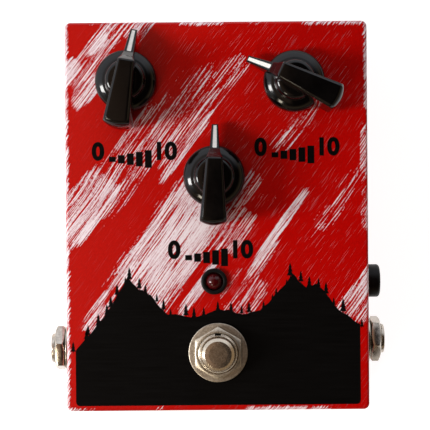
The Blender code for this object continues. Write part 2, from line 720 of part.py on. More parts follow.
def pot_can_mesh():
    """The steel can, the wafer that comes out of its side and the three pins down to the board."""
    bottom = CAN_TOP - POT_CAN_HEIGHT
    can = turned([(0.0, CAN_TOP), (POT_CAN_RADIUS, CAN_TOP), (POT_CAN_RADIUS, bottom + POT_CAN_ROUNDING),
                  (POT_CAN_RADIUS - POT_CAN_ROUNDING, bottom), (0.0, bottom)], HIDDEN_STEPS)
    wafer_top = CAN_TOP - WAFER_THICKNESS / 2
    wafer = block(WAFER_WIDTH, WAFER_REACH, wafer_top - WAFER_THICKNESS, wafer_top, y=-WAFER_REACH / 2)
    pin_y = -WAFER_REACH + PIN_WIDTH
    pins = blocks([(PIN_WIDTH, PIN_THICKNESS, BOARD_TOP + SEAT, wafer_top - WAFER_THICKNESS / 2,
                    PIN_PITCH * i, pin_y) for i in (-1, 0, 1)])
    socket = rod(SHAFT_BORE_RADIUS, CAN_TOP - POT_SHAFT_SOCKET, CAN_TOP + OVERRUN, HIDDEN_STEPS)
    return cut(joined(can, wafer, pins), socket)


def make_controls():
    """For each knob: the turning group on its axis, and the fixed potentiometer under it."""
    knob = knob_mesh()
    screw = set_screw_mesh()
    shaft = shaft_mesh()
    bush = pot_bush_mesh()
    can = pot_can_mesh()
    washer = tube(POT_WASHER_RADIUS, POT_BUSH_RADIUS + SEAT, FACE + SEAT, FACE + SEAT + POT_WASHER,
                  steps=HIDDEN_STEPS)
    nut = hex_nut(POT_NUT_FLATS, POT_NUT, POT_BUSH_RADIUS + SEAT, chamfered=False)
    nut_bottom = FACE + 2 * SEAT + POT_WASHER
    for name, place in KNOBS.items():
        x = place["x"]
        y = place["y"]
        axis = marker(f"axis_{name}", x, y, KNOB_BOTTOM, (0.0, 0.0, place["turn"]))
        piece(f"knob_{name}", knob, "black_phenolic", axis)
        piece(f"knob_screw_{name}", screw, "brass", axis)
        piece(f"pot_shaft_{name}", shaft, "zinc_steel", axis)
        piece(f"pot_bush_{name}", bush, "zinc_steel", x=x, y=y)
        piece(f"pot_can_{name}", can, "zinc_steel", x=x, y=y)
        piece(f"pot_washer_{name}", washer, "zinc_steel", x=x, y=y)
        piece(f"pot_nut_{name}", nut, "nickel", x=x, y=y, z=nut_bottom)


def make_footswitch():
    bush_hole = SWITCH_BUSH_RADIUS + SEAT
    bore = PLUNGER_RADIUS + SEAT
    bush_top = FACE + SWITCH_BUSH_RISE
    flange_bottom = SWITCH_FLANGE_TOP - SWITCH_FLANGE
    bush = turned([(bore, bush_top), (SWITCH_BUSH_RADIUS - SWITCH_BUSH_CHAMFER, bush_top),
                   (SWITCH_BUSH_RADIUS, bush_top - SWITCH_BUSH_CHAMFER),
                   (SWITCH_BUSH_RADIUS, SWITCH_FLANGE_TOP), (SWITCH_FLANGE_RADIUS, SWITCH_FLANGE_TOP),
                   (SWITCH_FLANGE_RADIUS, flange_bottom), (bore, flange_bottom)])
    keyway = block(KEYWAY_WIDTH, 2 * KEYWAY_DEPTH, SWITCH_FLANGE_TOP, bush_top + OVERRUN,
                   y=SWITCH_BUSH_RADIUS)
    at_switch = {"x": SWITCH_X, "y": SWITCH_Y}
    piece("footswitch_bush", cut(bush, keyway), "nickel", **at_switch)

    washer_bottom = FACE + SEAT
    nut_bottom = washer_bottom + SWITCH_WASHER + SEAT
    washer = tube(SWITCH_WASHER_RADIUS, bush_hole, washer_bottom, washer_bottom + SWITCH_WASHER,
                  WASHER_CHAMFER, KNOB_STEPS)
    piece("footswitch_washer", washer, "nickel", **at_switch)
    nut = hex_nut(SWITCH_NUT_FLATS, SWITCH_NUT, bush_hole)
    piece("footswitch_nut", nut, "nickel", z=nut_bottom, **at_switch)
    inner_nut = hex_nut(SWITCH_NUT_FLATS, INNER_NUT, bush_hole, chamfered=False)
    piece("footswitch_inner_nut", inner_nut, "nickel", z=SWITCH_NUT_TOP - INNER_NUT, **at_switch)

    axis = marker("axis_footswitch", SWITCH_X, SWITCH_Y, FACE)
    end = SWITCH_BODY_TOP + PLUNGER_END_GAP + PLUNGER_TRAVEL - FACE
    shoulder = PLUNGER_RISE - PLUNGER_CHAMFER_HEIGHT
    plunger = turned([(0.0, PLUNGER_RISE), (PLUNGER_TOP_RADIUS, PLUNGER_RISE), (PLUNGER_RADIUS, shoulder),
                      (PLUNGER_RADIUS, end), (0.0, end)])
    piece("footswitch_plunger", plunger, "nickel", axis)

    bottom = SWITCH_BODY_TOP - SWITCH_BODY_HEIGHT
    body = block(SWITCH_BODY_SIDE, SWITCH_BODY_SIDE, bottom, SWITCH_BODY_TOP, rounding=SWITCH_BODY_ROUNDING)
    centre = (LUG_COUNT - 1) / 2
    lugs = blocks([(LUG_WIDTH, LUG_THICKNESS, bottom - LUG_LENGTH, bottom + LUG_THICKNESS,
                    LUG_PITCH * (i - centre), LUG_PITCH * (j - centre))
                   for i in range(LUG_COUNT) for j in range(LUG_COUNT)])
    piece("footswitch_body", joined(body, lugs), "blue_plastic", **at_switch)


def make_light():
    top = FACE + SEAT + BEZEL_RISE
    bore = LED_RIM_RADIUS + SEAT
    lip_bore = LED_RADIUS + SEAT
    lip_bottom = FACE
    bezel = turned([(lip_bore, top), (BEZEL_RADIUS - BEZEL_ROUNDING, top),
                    (BEZEL_RADIUS, top - BEZEL_ROUNDING), (BEZEL_RADIUS, FACE + SEAT),
                    (BEZEL_BARREL_RADIUS, FACE + SEAT), (BEZEL_BARREL_RADIUS, FACE - BEZEL_DEPTH),
                    (bore, FACE - BEZEL_DEPTH), (bore, lip_bottom), (lip_bore, lip_bottom)])
    piece("led_bezel", bezel, "black_plastic", x=LED_X, y=LED_Y)

    crown = FACE + LED_RISE - LED_RADIUS
    dome = []
    for i in range(DOME_STEPS + 1):
        angle = math.pi / 2 * (1 - i / DOME_STEPS)
        dome.append((LED_RADIUS * math.cos(angle) if i else 0.0, crown + LED_RADIUS * math.sin(angle)))
    rim_top = lip_bottom - SEAT
    rim_bottom = rim_top - LED_RIM
    lens = turned(dome + [(LED_RADIUS, rim_top), (LED_RIM_RADIUS, rim_top), (LED_RIM_RADIUS, rim_bottom),
                          (0.0, rim_bottom)])
    piece("led_lens", lens, "dark_red_epoxy", x=LED_X, y=LED_Y)


def leaf_mesh(root, clamp):
    """The bent tip contact: a thin strip from its clamp back to the dip and the lead-out."""
    shape = bmesh.new()
    rows = []
    for reach_share, dip_share in LEAF_SHARES:
        z = root - LEAF_REACH * reach_share
        y = clamp + (LEAF_DIP - clamp) * dip_share
        rows.append([shape.verts.new((side * LEAF_WIDTH / 2, y, z)) for side in (-1, 1)])
    for back, front in zip(rows, rows[1:]):
        shape.faces.new((back[0], back[1], front[1], front[0]))
    source = work_object(to_mesh(shape))
    thicken = source.modifiers.new("thickness", "SOLIDIFY")
    thicken.thickness = LEAF_THICKNESS
    thicken.offset = 0.0
    return baked(source)


def make_audio_jack(side):
    """One open-frame jack: bush and frame, insulator, tip contact, washer and nut.

    Heights are along the jack's own axis, zero at the wall's outer face, and the arm is above it.
    """
    face = half_width_at(JACK_HEIGHT - JACK_WASHER_RADIUS)
    sign = 1.0 if side == "right" else -1.0
    axis = marker(f"axis_jack_{side}", sign * face, JACK_Y[side], JACK_HEIGHT, side_turn(side))
    wall_inside = half_width_at(JACK_HEIGHT + JACK_PLATE_SIDE / 2) - WALL - face
    plate_top = wall_inside - SEAT
    plate_bottom = plate_top - JACK_PLATE
    half = JACK_PLATE_SIDE / 2

    frame = block(JACK_PLATE_SIDE, JACK_PLATE_SIDE, plate_bottom, plate_top)
    arm = block(ARM_WIDTH, ARM_THICKNESS, plate_bottom - ARM_LENGTH, plate_top - JACK_PLATE / 2,
                y=half - ARM_THICKNESS / 2 - JACK_PLATE / 4)
    inner = JACK_BUSH_RADIUS - JACK_BUSH_CHAMFER
    bush = turned([(0.0, JACK_BUSH_RISE), (inner, JACK_BUSH_RISE),
                   (JACK_BUSH_RADIUS, JACK_BUSH_RISE - JACK_BUSH_CHAMFER),
                   (JACK_BUSH_RADIUS, plate_bottom + JACK_PLATE / 3), (0.0, plate_bottom + JACK_PLATE / 3)])
    bore = rod(JACK_BORE_RADIUS, plate_bottom - OVERRUN, JACK_BUSH_RISE + OVERRUN)
    piece(f"jack_frame_{side}", cut(joined(frame, arm, bush), bore), "nickel", axis)

    stack_outer = half - JACK_PLATE / 4 - ARM_THICKNESS - SEAT
    clamp = (stack_outer + STACK_INNER) / 2
    stack_top = plate_bottom - STACK_SETBACK
    stack = block(STACK_WIDTH, stack_outer - STACK_INNER, stack_top - STACK_LENGTH, stack_top, y=clamp)
    slot = block(LEAF_WIDTH + 2 * SEAT, LEAF_THICKNESS + 2 * SEAT, stack_top - STACK_LENGTH - OVERRUN,
                 stack_top + OVERRUN, y=clamp)
    piece(f"jack_insulator_{side}", cut(stack, slot), "brown_laminate", axis)
    piece(f"jack_contact_{side}", leaf_mesh(stack_top + STACK_SETBACK / 2, clamp), "nickel", axis)

    hole = JACK_BUSH_RADIUS + SEAT
    piece(f"jack_washer_{side}", tube(JACK_WASHER_RADIUS, hole, SEAT, SEAT + JACK_WASHER), "nickel", axis)
    nut = hex_nut(JACK_NUT_FLATS, JACK_NUT, hole)
    nut.transform(Matrix.Rotation(JACK_NUT_TURNS[side], 4, "Z"))
    piece(f"jack_nut_{side}", nut, "nickel", axis, z=2 * SEAT + JACK_WASHER)


def make_power_jack():
    """The moulded barrel jack, put in from outside and held by a nut behind the wall."""
    face = half_width_at(JACK_HEIGHT - POWER_FLANGE_RADIUS)
    axis = marker("axis_power_jack", face, POWER_Y, JACK_HEIGHT, side_turn("right"))
    inner = POWER_FLANGE_RADIUS - POWER_ROUNDING
    socket_bottom = POWER_RISE - POWER_SOCKET_DEPTH
    body = turned([(0.0, POWER_RISE), (inner, POWER_RISE),
                   (POWER_FLANGE_RADIUS - POWER_ROUNDING / 4, POWER_RISE - POWER_ROUNDING / 3),
                   (POWER_FLANGE_RADIUS, POWER_RISE - POWER_ROUNDING), (POWER_FLANGE_RADIUS, SEAT),
                   (POWER_BARREL_RADIUS, SEAT), (POWER_BARREL_RADIUS, -POWER_BARREL_DEPTH),
                   (0.0, -POWER_BARREL_DEPTH)])
    terminals = blocks([(TERMINAL_WIDTH, TERMINAL_THICKNESS, -POWER_BARREL_DEPTH - TERMINAL_LENGTH,
                         -POWER_BARREL_DEPTH + TERMINAL_THICKNESS, 0.0, TERMINAL_OFFSET * i)
                        for i in (-1, 1)])
    socket = rod(POWER_SOCKET_RADIUS, socket_bottom, POWER_RISE + OVERRUN)
    piece("power_jack_body", cut(joined(body, terminals), socket), "black_plastic", axis)

    pin_bottom = socket_bottom + SEAT
    pin_top = pin_bottom + POWER_PIN_LENGTH
    round_off = POWER_PIN_RADIUS / 2
    pin = turned([(0.0, pin_top), (round_off, pin_top), (POWER_PIN_RADIUS, pin_top - round_off),
                  (POWER_PIN_RADIUS, pin_bottom), (0.0, pin_bottom)], SMALL_STEPS)
    piece("power_jack_pin", pin, "nickel", axis)

    wall_inside = half_width_at(JACK_HEIGHT + POWER_NUT_FLATS / 2) - WALL - face
    nut = hex_nut(POWER_NUT_FLATS, POWER_NUT, POWER_BARREL_RADIUS + SEAT, chamfered=False)
    piece("power_jack_nut", nut, "black_plastic", axis, z=wall_inside - SEAT - POWER_NUT)


def on_board(x_share, y_share):
    """The place on the board that the two shares give."""
    return {"x": BOARD_WIDTH * x_share, "y": BOARD_FRONT + (BOARD_BACK - BOARD_FRONT) * y_share}


def make_board():
    board = block(BOARD_WIDTH, BOARD_BACK - BOARD_FRONT, BOARD_BOTTOM, BOARD_TOP,
                  y=(BOARD_BACK + BOARD_FRONT) / 2)
    piece("circuit_board", board, "green_laminate")
    top = BOARD_BOTTOM - SEAT
    for name, chip in CHIPS.items():
        body_top = top - CHIP_STAND
        body = block(chip["length"], CHIP_WIDTH, body_top - CHIP_THICKNESS, body_top)
        middle = body_top - CHIP_THICKNESS / 2
        centre = (chip["pins"] - 1) / 2
        pins = blocks([(CHIP_PIN_WIDTH, CHIP_PIN_REACH, middle, top, CHIP_PIN_PITCH * (i - centre),
                        side * (CHIP_WIDTH / 2 + CHIP_PIN_REACH / 4))
                       for i in range(chip["pins"]) for side in (-1, 1)])
        piece(name, joined(body, pins), "black_plastic", **on_board(chip["x_share"], chip["y_share"]))
    low = top - CAPACITOR_HEIGHT
    can = turned([(0.0, top), (CAPACITOR_RADIUS, top), (CAPACITOR_RADIUS, low + CAPACITOR_ROUNDING),
                  (CAPACITOR_RADIUS - CAPACITOR_ROUNDING, low), (0.0, low)], SMALL_STEPS)
    piece("capacitor_power", can, "black_plastic", **on_board(*CAPACITOR_SHARES))
    regulator = rod(REGULATOR_RADIUS, top - REGULATOR_HEIGHT, top, SMALL_STEPS)
    flat = REGULATOR_RADIUS * REGULATOR_FLAT_SHARE
    away = block(2 * REGULATOR_RADIUS + OVERRUN, REGULATOR_RADIUS, top - REGULATOR_HEIGHT - OVERRUN,
                 top + OVERRUN, y=flat + REGULATOR_RADIUS / 2)
    piece("regulator", cut(regulator, away), "black_plastic", **on_board(*REGULATOR_SHARES))


def smooth_route(points):
    """Points on a smooth curve through the route's own points."""
    padded = [points[0]] + points + [points[-1]]
    route = []
    for a, b, c, d in zip(padded, padded[1:], padded[2:], padded[3:]):
        for step in range(WIRE_ROUTE_STEPS):
            t = step / WIRE_ROUTE_STEPS
            place = []
            for p, q, r, s in zip(a, b, c, d):
                bend = 2 * p - 5 * q + 4 * r - s
                twist = 3 * q - p - 3 * r + s
                place.append(q + ((r - p) * t + bend * t * t + twist * t ** 3) / 2)
            route.append(tuple(place))
    route.append(points[-1])
    return route


def make_wire(name, points, finish):
    """A hook-up wire held inside the box: a round tube along a smooth route."""
    route = smooth_route(points)
    curve = bpy.data.curves.new(name, "CURVE")
    curve.dimensions = "3D"
    curve.bevel_depth = WIRE_RADIUS
    curve.bevel_resolution = WIRE_ROUND_STEPS
    curve.use_fill_caps = True
    spline = curve.splines.new("POLY")
    spline.points.add(len(route) - 1)
    for point, place in zip(spline.points, route):
        point.co = (*place, 1.0)
    mesh = baked(work_object(curve))
    shape = bmesh.new()
    shape.from_mesh(mesh)
    bmesh.ops.remove_doubles(shape, verts=shape.verts, dist=MERGE)
    piece(name, to_mesh(shape), finish)


def make_wires():
    """From the sleeve arm of each audio jack and a power terminal to the board's front edge."""
    away = WIRE_RADIUS + SEAT
    under_board = BOARD_BOTTOM - away
    arm_y = JACK_PLATE_SIDE / 2 - JACK_PLATE / 4
    arm_end = JACK_PLATE + ARM_LENGTH + WALL + 2 * SEAT
    face = half_width_at(JACK_HEIGHT)
    for side, sign in (("left", -1.0), ("right", 1.0)):
        start_x = sign * (face - arm_end + ARM_THICKNESS)
        y = JACK_Y[side]
        above = JACK_HEIGHT + arm_y + away
        end_x = sign * BOARD_WIDTH / 4
        make_wire(f"wire_audio_{side}", [
            (start_x, y, above),
            (start_x - sign * ARM_WIDTH, y + ARM_WIDTH / 2, above),
            (start_x - sign * ARM_WIDTH, y / 2, (above + under_board) / 2),
            (end_x, BOARD_FRONT / 2 + y / 8, under_board - ARM_WIDTH / 4),
            (end_x, BOARD_FRONT + ARM_WIDTH / 2, under_board),
        ], "wire_white")
    power_face = half_width_at(JACK_HEIGHT - POWER_FLANGE_RADIUS)
    power_x = power_face - POWER_BARREL_DEPTH - TERMINAL_LENGTH - away
    power_z = JACK_HEIGHT - TERMINAL_OFFSET
    make_wire("wire_power", [
        (power_x, POWER_Y, power_z),
        (power_x - TERMINAL_LENGTH, POWER_Y + TERMINAL_LENGTH / 2, power_z),
        (BOARD_WIDTH / 3, POWER_Y / 2, power_z - TERMINAL_LENGTH / 2),
        (BOARD_WIDTH / 3, BOARD_FRONT, under_board - TERMINAL_LENGTH / 2),
        (BOARD_WIDTH / 3, BOARD_FRONT + TERMINAL_LENGTH, under_board),
    ], "wire_red")


def main():
    clear_scene()
    collection("delay_pedal")
    collection("workshop")
    make_enclosure()
    make_lid()
    make_lid_screws()
    make_feet()
    make_controls()
    make_footswitch()
    make_light()
    for side in JACK_Y:
        make_audio_jack(side)
    make_power_jack()
    make_board()
    make_wires()


main()
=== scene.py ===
import math
import random

import bmesh
import bpy
from mathutils import Matrix, Vector


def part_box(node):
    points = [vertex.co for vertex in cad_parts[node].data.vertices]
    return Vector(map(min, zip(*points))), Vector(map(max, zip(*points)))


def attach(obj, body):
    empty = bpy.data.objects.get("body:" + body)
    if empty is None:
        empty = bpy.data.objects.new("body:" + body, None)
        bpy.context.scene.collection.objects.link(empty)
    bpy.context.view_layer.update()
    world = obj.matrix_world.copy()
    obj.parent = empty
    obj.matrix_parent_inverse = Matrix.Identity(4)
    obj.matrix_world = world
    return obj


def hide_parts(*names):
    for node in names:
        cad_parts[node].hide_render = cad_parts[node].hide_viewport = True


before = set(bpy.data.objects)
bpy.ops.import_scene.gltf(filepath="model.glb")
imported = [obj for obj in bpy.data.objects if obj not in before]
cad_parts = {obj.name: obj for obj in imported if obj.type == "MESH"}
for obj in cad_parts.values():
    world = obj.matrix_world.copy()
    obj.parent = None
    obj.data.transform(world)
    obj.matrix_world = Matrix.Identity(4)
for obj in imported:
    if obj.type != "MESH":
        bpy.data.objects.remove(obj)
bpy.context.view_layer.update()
print("frame loaded")

mm = 0.001
tiny = 1e-7
past = 1.0  # how far, in millimetres, a cutter reaches past what it cuts
farPast = 3.0  # the same where the cutter goes through the box's own walls
sharpAngle = 32.0  # edges sharper than this are shaded sharp
halfWidth, halfLength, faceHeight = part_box("enclosure_shell")[1]

# Facets round a turned piece, and in the arc of a rounding
wideSteps = 128
roundSteps = 96
smallSteps = 64
screwSteps = 48
holeSteps = 32
coarseArc = 4
mediumArc = 5
fineArc = 6


def middleOf(node):
    low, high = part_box(node)
    return (low + high) / 2


# Shapes

def arcCorners(corners, steps):
    # (x, y, rounding) corners to an outline with an arc at each rounded one
    outline = []
    for index, (x, y, rounding) in enumerate(corners):
        here = Vector((x, y))
        if rounding == 0:
            outline.append(here)
            continue
        back = (Vector(corners[index - 1][:2]) - here).normalized()
        ahead = (Vector(corners[(index + 1) % len(corners)][:2]) - here).normalized()
        halfAngle = back.angle(ahead) / 2
        centre = here + (back + ahead).normalized() * rounding / math.sin(halfAngle)
        first = here + back * rounding / math.tan(halfAngle) - centre
        last = here + ahead * rounding / math.tan(halfAngle) - centre
        start = math.atan2(first.y, first.x)
        sweep = (math.atan2(last.y, last.x) - start + math.pi) % math.tau - math.pi
        for step in range(steps + 1):
            angle = start + sweep * step / steps
            outline.append(centre + Vector((math.cos(angle), math.sin(angle))) * rounding)
    return outline


def closeShape(shape):
    mesh = bpy.data.meshes.new("shape")
    bmesh.ops.remove_doubles(shape, verts=shape.verts, dist=tiny)
    bmesh.ops.recalc_face_normals(shape, faces=shape.faces)
    shape.to_mesh(mesh)
    shape.free()
    return mesh


def lathe(corners, steps=roundSteps, arc=coarseArc):
    # Turns (radius, height, rounding) corners, in millimetres, about Z
    shape = bmesh.new()
    rings = []
    for radius, height in arcCorners(corners, arc):
        spots = steps if radius > tiny else 1
        rings.append([shape.verts.new((radius * math.cos(math.tau * k / steps) * mm,
                                       radius * math.sin(math.tau * k / steps) * mm, height * mm))
                      for k in range(spots)])
    pairs = list(zip(rings, rings[1:]))
    if len(rings[0]) > 1:
        pairs.append((rings[-1], rings[0]))
    for ringA, ringB in pairs:
        for k in range(steps):
            around = [ring[i % len(ring)]
                      for ring, i in ((ringA, k), (ringB, k), (ringB, k + 1), (ringA, k + 1))]
            around = [v for i, v in enumerate(around) if v not in around[:i]]
            if len(around) > 2:
                shape.faces.new(around)
    return closeShape(shape)


def slab(outline, low, high):
    # A flat plate over an outline of (x, y) points, all in millimetres
    shape = bmesh.new()
    bottom, top = [[shape.verts.new((x * mm, y * mm, z * mm)) for x, y in outline] for z in (low, high)]
    shape.faces.new(bottom)
    shape.faces.new(top)
    for k in range(len(outline)):
        j = (k + 1) % len(outline)
        shape.faces.new((bottom[k], bottom[j], top[j], top[k]))
    return closeShape(shape)


def plate(width, length, low, high, corner=0.0, x=0.0, y=0.0):
    corners = [(x + i * width / 2, y + j * length / 2, corner)
               for i, j in ((-1, -1), (1, -1), (1, 1), (-1, 1))]
    return slab(arcCorners(corners, mediumArc), low, high)


def holderOf(mesh):
    holder = bpy.data.objects.new("work", mesh)
    bpy.context.scene.collection.objects.link(holder)
    return holder


def evaluated(holder):
    graph = bpy.context.evaluated_depsgraph_get()
    mesh = bpy.data.meshes.new_from_object(holder.evaluated_get(graph))
    bpy.data.objects.remove(holder)
    return mesh


def combine(mesh, other, operation):
    body = holderOf(mesh)
    tool = holderOf(other)
    step = body.modifiers.new("combine", "BOOLEAN")
    step.operation = operation
    step.solver = "EXACT"
    step.object = tool
    result = evaluated(body)
    bpy.data.objects.remove(tool)
    return result


def softened(mesh, width, segments=2):
    # Breaks the sharp edges, as tumbling or moulding does
    holder = holderOf(mesh)
    step = holder.modifiers.new("soften", "BEVEL")
    step.width = width * mm
    step.segments = segments
    step.limit_method = "ANGLE"
    step.angle_limit = math.radians(30)
    step.use_clamp_overlap = True
    return evaluated(holder)


def placed(mesh, x=0.0, y=0.0, z=0.0, turn=None):
    if turn is not None:
        mesh.transform(turn)
    mesh.transform(Matrix.Translation((x, y, z)))
    return mesh


def together(meshes):
    # Several closed meshes as one mesh
    shape = bmesh.new()
    for mesh in meshes:
        shape.from_mesh(mesh)
    mesh = bpy.data.meshes.new("shape")
    shape.to_mesh(mesh)
    shape.free()
    return mesh


def finishPiece(name, mesh, finish, body, slot, *nodes):
    mesh.name = name
    mesh.materials.clear()
    mesh.materials.append(finish)
    mesh.shade_smooth()
    mesh.set_sharp_from_angle(angle=math.radians(sharpAngle))
    made = bpy.data.objects.new(name, mesh)
    bpy.context.scene.collection.objects.link(made)
    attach(made, body)
    if nodes:
        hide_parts(*nodes)


# Node trees

def linearColour(code):
    # sRGB hex to the linear values that Blender's sockets take
    values = [int(code[i:i + 2], 16) / 255 for i in (1, 3, 5)]
    return tuple(v / 12.92 if v <= 0.04045 else ((v + 0.055) / 1.055) ** 2.4 for v in values) + (1.0,)


def feed(tree, node, inputs):
    # Each input is a value, a socket, or a node, which gives its first live output
    for name, source in inputs.items():
        if isinstance(source, bpy.types.Node):
            source = next(output for output in source.outputs if output.enabled)
        if isinstance(source, bpy.types.NodeSocket):
            tree.links.new(source, node.inputs[name])
        else:
            node.inputs[name].default_value = source


def addNode(tree, kind, inputs=None, **settings):
    node = tree.nodes.new(kind)
    for name, value in settings.items():
        setattr(node, name, value)
    feed(tree, node, inputs or {})
    return node


def startMaterial(name, values):
    made = bpy.data.materials.new(name)
    made.use_nodes = True
    tree = made.node_tree
    shader = tree.nodes["Principled BSDF"]
    feed(tree, shader, values)
    return made, tree, shader


def twoTone(tree, shader, share, look):
    # Colour and roughness go from the first to the second of each pair as the share rises
    dark, light = look["tones"]
    colour = addNode(tree, "ShaderNodeMix", {0: share, 6: linearColour(dark), 7: linearColour(light)},
                     data_type="RGBA")
    smooth, coarse = look["rough"]
    rough = addNode(tree, "ShaderNodeMapRange", {"Value": share, "To Min": smooth, "To Max": coarse})
    feed(tree, shader, {"Base Color": colour, "Roughness": rough})


def startGeometryTree(name, sizes):
    # Named inputs: a count, a length in metres, or None for an object
    kinds = {int: "NodeSocketInt", float: "NodeSocketFloat", type(None): "NodeSocketObject"}
    tree = bpy.data.node_groups.new(name, "GeometryNodeTree")
    for label, value in sizes.items():
        socket = tree.interface.new_socket(label, in_out="INPUT", socket_type=kinds[type(value)])
        socket.default_value = value
    tree.interface.new_socket("Finish", in_out="INPUT", socket_type="NodeSocketMaterial")
    tree.interface.new_socket("Geometry", in_out="OUTPUT", socket_type="NodeSocketGeometry")
    return tree, addNode(tree, "NodeGroupInput").outputs


def endGeometryTree(tree, sizes, geometry):
    real = addNode(tree, "GeometryNodeRealizeInstances", {0: geometry})
    coloured = addNode(tree, "GeometryNodeSetMaterial", {"Geometry": real, "Material": sizes["Finish"]})
    addNode(tree, "NodeGroupOutput", {0: coloured})
    return tree


def runTree(tree, values):
    holder = holderOf(bpy.data.meshes.new("start"))
    step = holder.modifiers.new("nodes", "NODES")
    step.node_group = tree
    for item in tree.interface.items_tree:
        if item.in_out == "INPUT" and item.name in values:
            step[item.identifier] = values[item.name]
    return evaluated(holder)


# Red enamel with dry-brushed white: a glossy red ground, and broken white strokes that run one way.
# Places and sizes in millimetres on the face, angles in degrees from the box's width.
brushwork = {
    "redDeep": "#A40200", "redBright": "#C80401", "whiteThin": "#CC9CA6", "white": "#F4E6EC",
    "thickFrom": 2.0, "strokeAngle": 54.0, "wanderSize": 45.0, "wander": 3.0,
    # each layer of tracks: length, width, share, detail
    "tracks": [(36.0, 1.5, 0.10, 2.0), (22.0, 0.44, 0.38, 1.0), (10.0, 0.32, 0.36, 1.0),
               (0.9, 0.34, 0.16, 1.0)],
    "evenness": 0.054, "driest": -3.0, "fullest": 1.25, "bandCore": 0.42, "softness": 0.1,
    # where no brush went, and up to which load that counts
    "untouched": -1.3, "touchedFrom": 0.3,
    # faint scratches, most of them to the right: length, width, how rare, how strong
    "scratch": (9.0, 0.17, 0.67, 0.40), "scratchShift": (31.0, 17.0, 0.0), "scratchEdge": 0.08,
    "scratchFrom": -34.0, "scratchTo": 12.0, "leastScratch": 0.2,
    # strips along the edges: how wide, how full, and the patches that break them; the left one is whole,
    # partly dry-brushed white and partly a painted highlight of the lamps on the rounded left rim
    "edgeCore": 0.5, "edgeReach": 1.9, "edgeLoad": 0.86, "edgeShare": 0.992,
    "patchSize": 26.0, "patchFrom": 0.44, "patchTo": 0.56,
    "edges": [("X", -halfWidth, 1.0), ("X", halfWidth, 0.0), ("Y", halfLength, 0.0), ("Y", -halfLength, 0.0)],
    "redRoughness": 0.22, "whiteRoughness": 0.45, "paintThickness": 0.05, "peelSize": 1.4, "peelShare": 0.25,
    "underFrom": -0.6, "underTo": -0.3,
}
# Where the brush was full: x, y, angle, half length, half width, load
brushBands = [
    (-37.0, 50.4, 50, 17.0, 4.4, 0.70), (-36.0, 52.8, 50, 5.5, 1.4, 1.00), (-45.0, 44.2, 50, 6.0, 3.4, 0.95),
    (-23.5, 60.0, 48, 8.0, 5.0, 0.66), (-39.4, 38.6, 50, 8.0, 3.0, 1.00), (-26.0, 17.5, 53, 27.0, 8.0, 0.58),
    (-10.0, 31.0, 51, 22.0, 7.0, 0.55), (-9.0, 21.5, 53, 17.0, 1.5, 0.88), (2.5, 41.5, 50, 12.0, 4.5, 0.49),
    (-41.5, 3.0, 54, 16.0, 7.5, 0.84), (-36.2, 1.0, 54, 14.0, 1.8, 1.00),
    (-14.7, -10.0, 55, 29.0, 12.0, 0.96),
    (-36.6, -29.0, 55, 9.0, 3.0, 0.80), (-6.0, -22.5, 54, 12.0, 2.2, 0.95), (5.2, -5.0, 53, 10.0, 5.2, 0.66),
    (8.6, 8.0, 53, 8.0, 4.0, 0.54), (18.6, -4.6, 55, 18.0, 1.7, 1.00), (13.6, -13.0, 55, 9.0, 2.6, 0.72),
    (8.0, -24.0, 55, 9.0, 7.0, 0.56), (24.0, 27.0, 50, 12.0, 4.0, 0.44), (38.0, 5.0, 52, 14.0, 4.0, 0.44),
    (39.6, -29.0, 51, 12.0, 4.2, 0.66), (-66.0, 30.0, 54, 22.0, 7.0, 0.75),
    (-64.0, -36.0, 54, 24.0, 9.0, 0.85),
    (64.0, 6.0, 54, 26.0, 6.0, 0.70), (20.0, 76.0, 54, 22.0, 7.0, 0.80), (-22.0, -78.0, 54, 22.0, 8.0, 0.80),
    (45.6, 20.0, 88, 9.5, 2.0, 0.74), (45.6, 2.5, 88, 8.0, 1.8, 0.66), (44.9, -24.5, 80, 10.5, 2.6, 0.82),
]


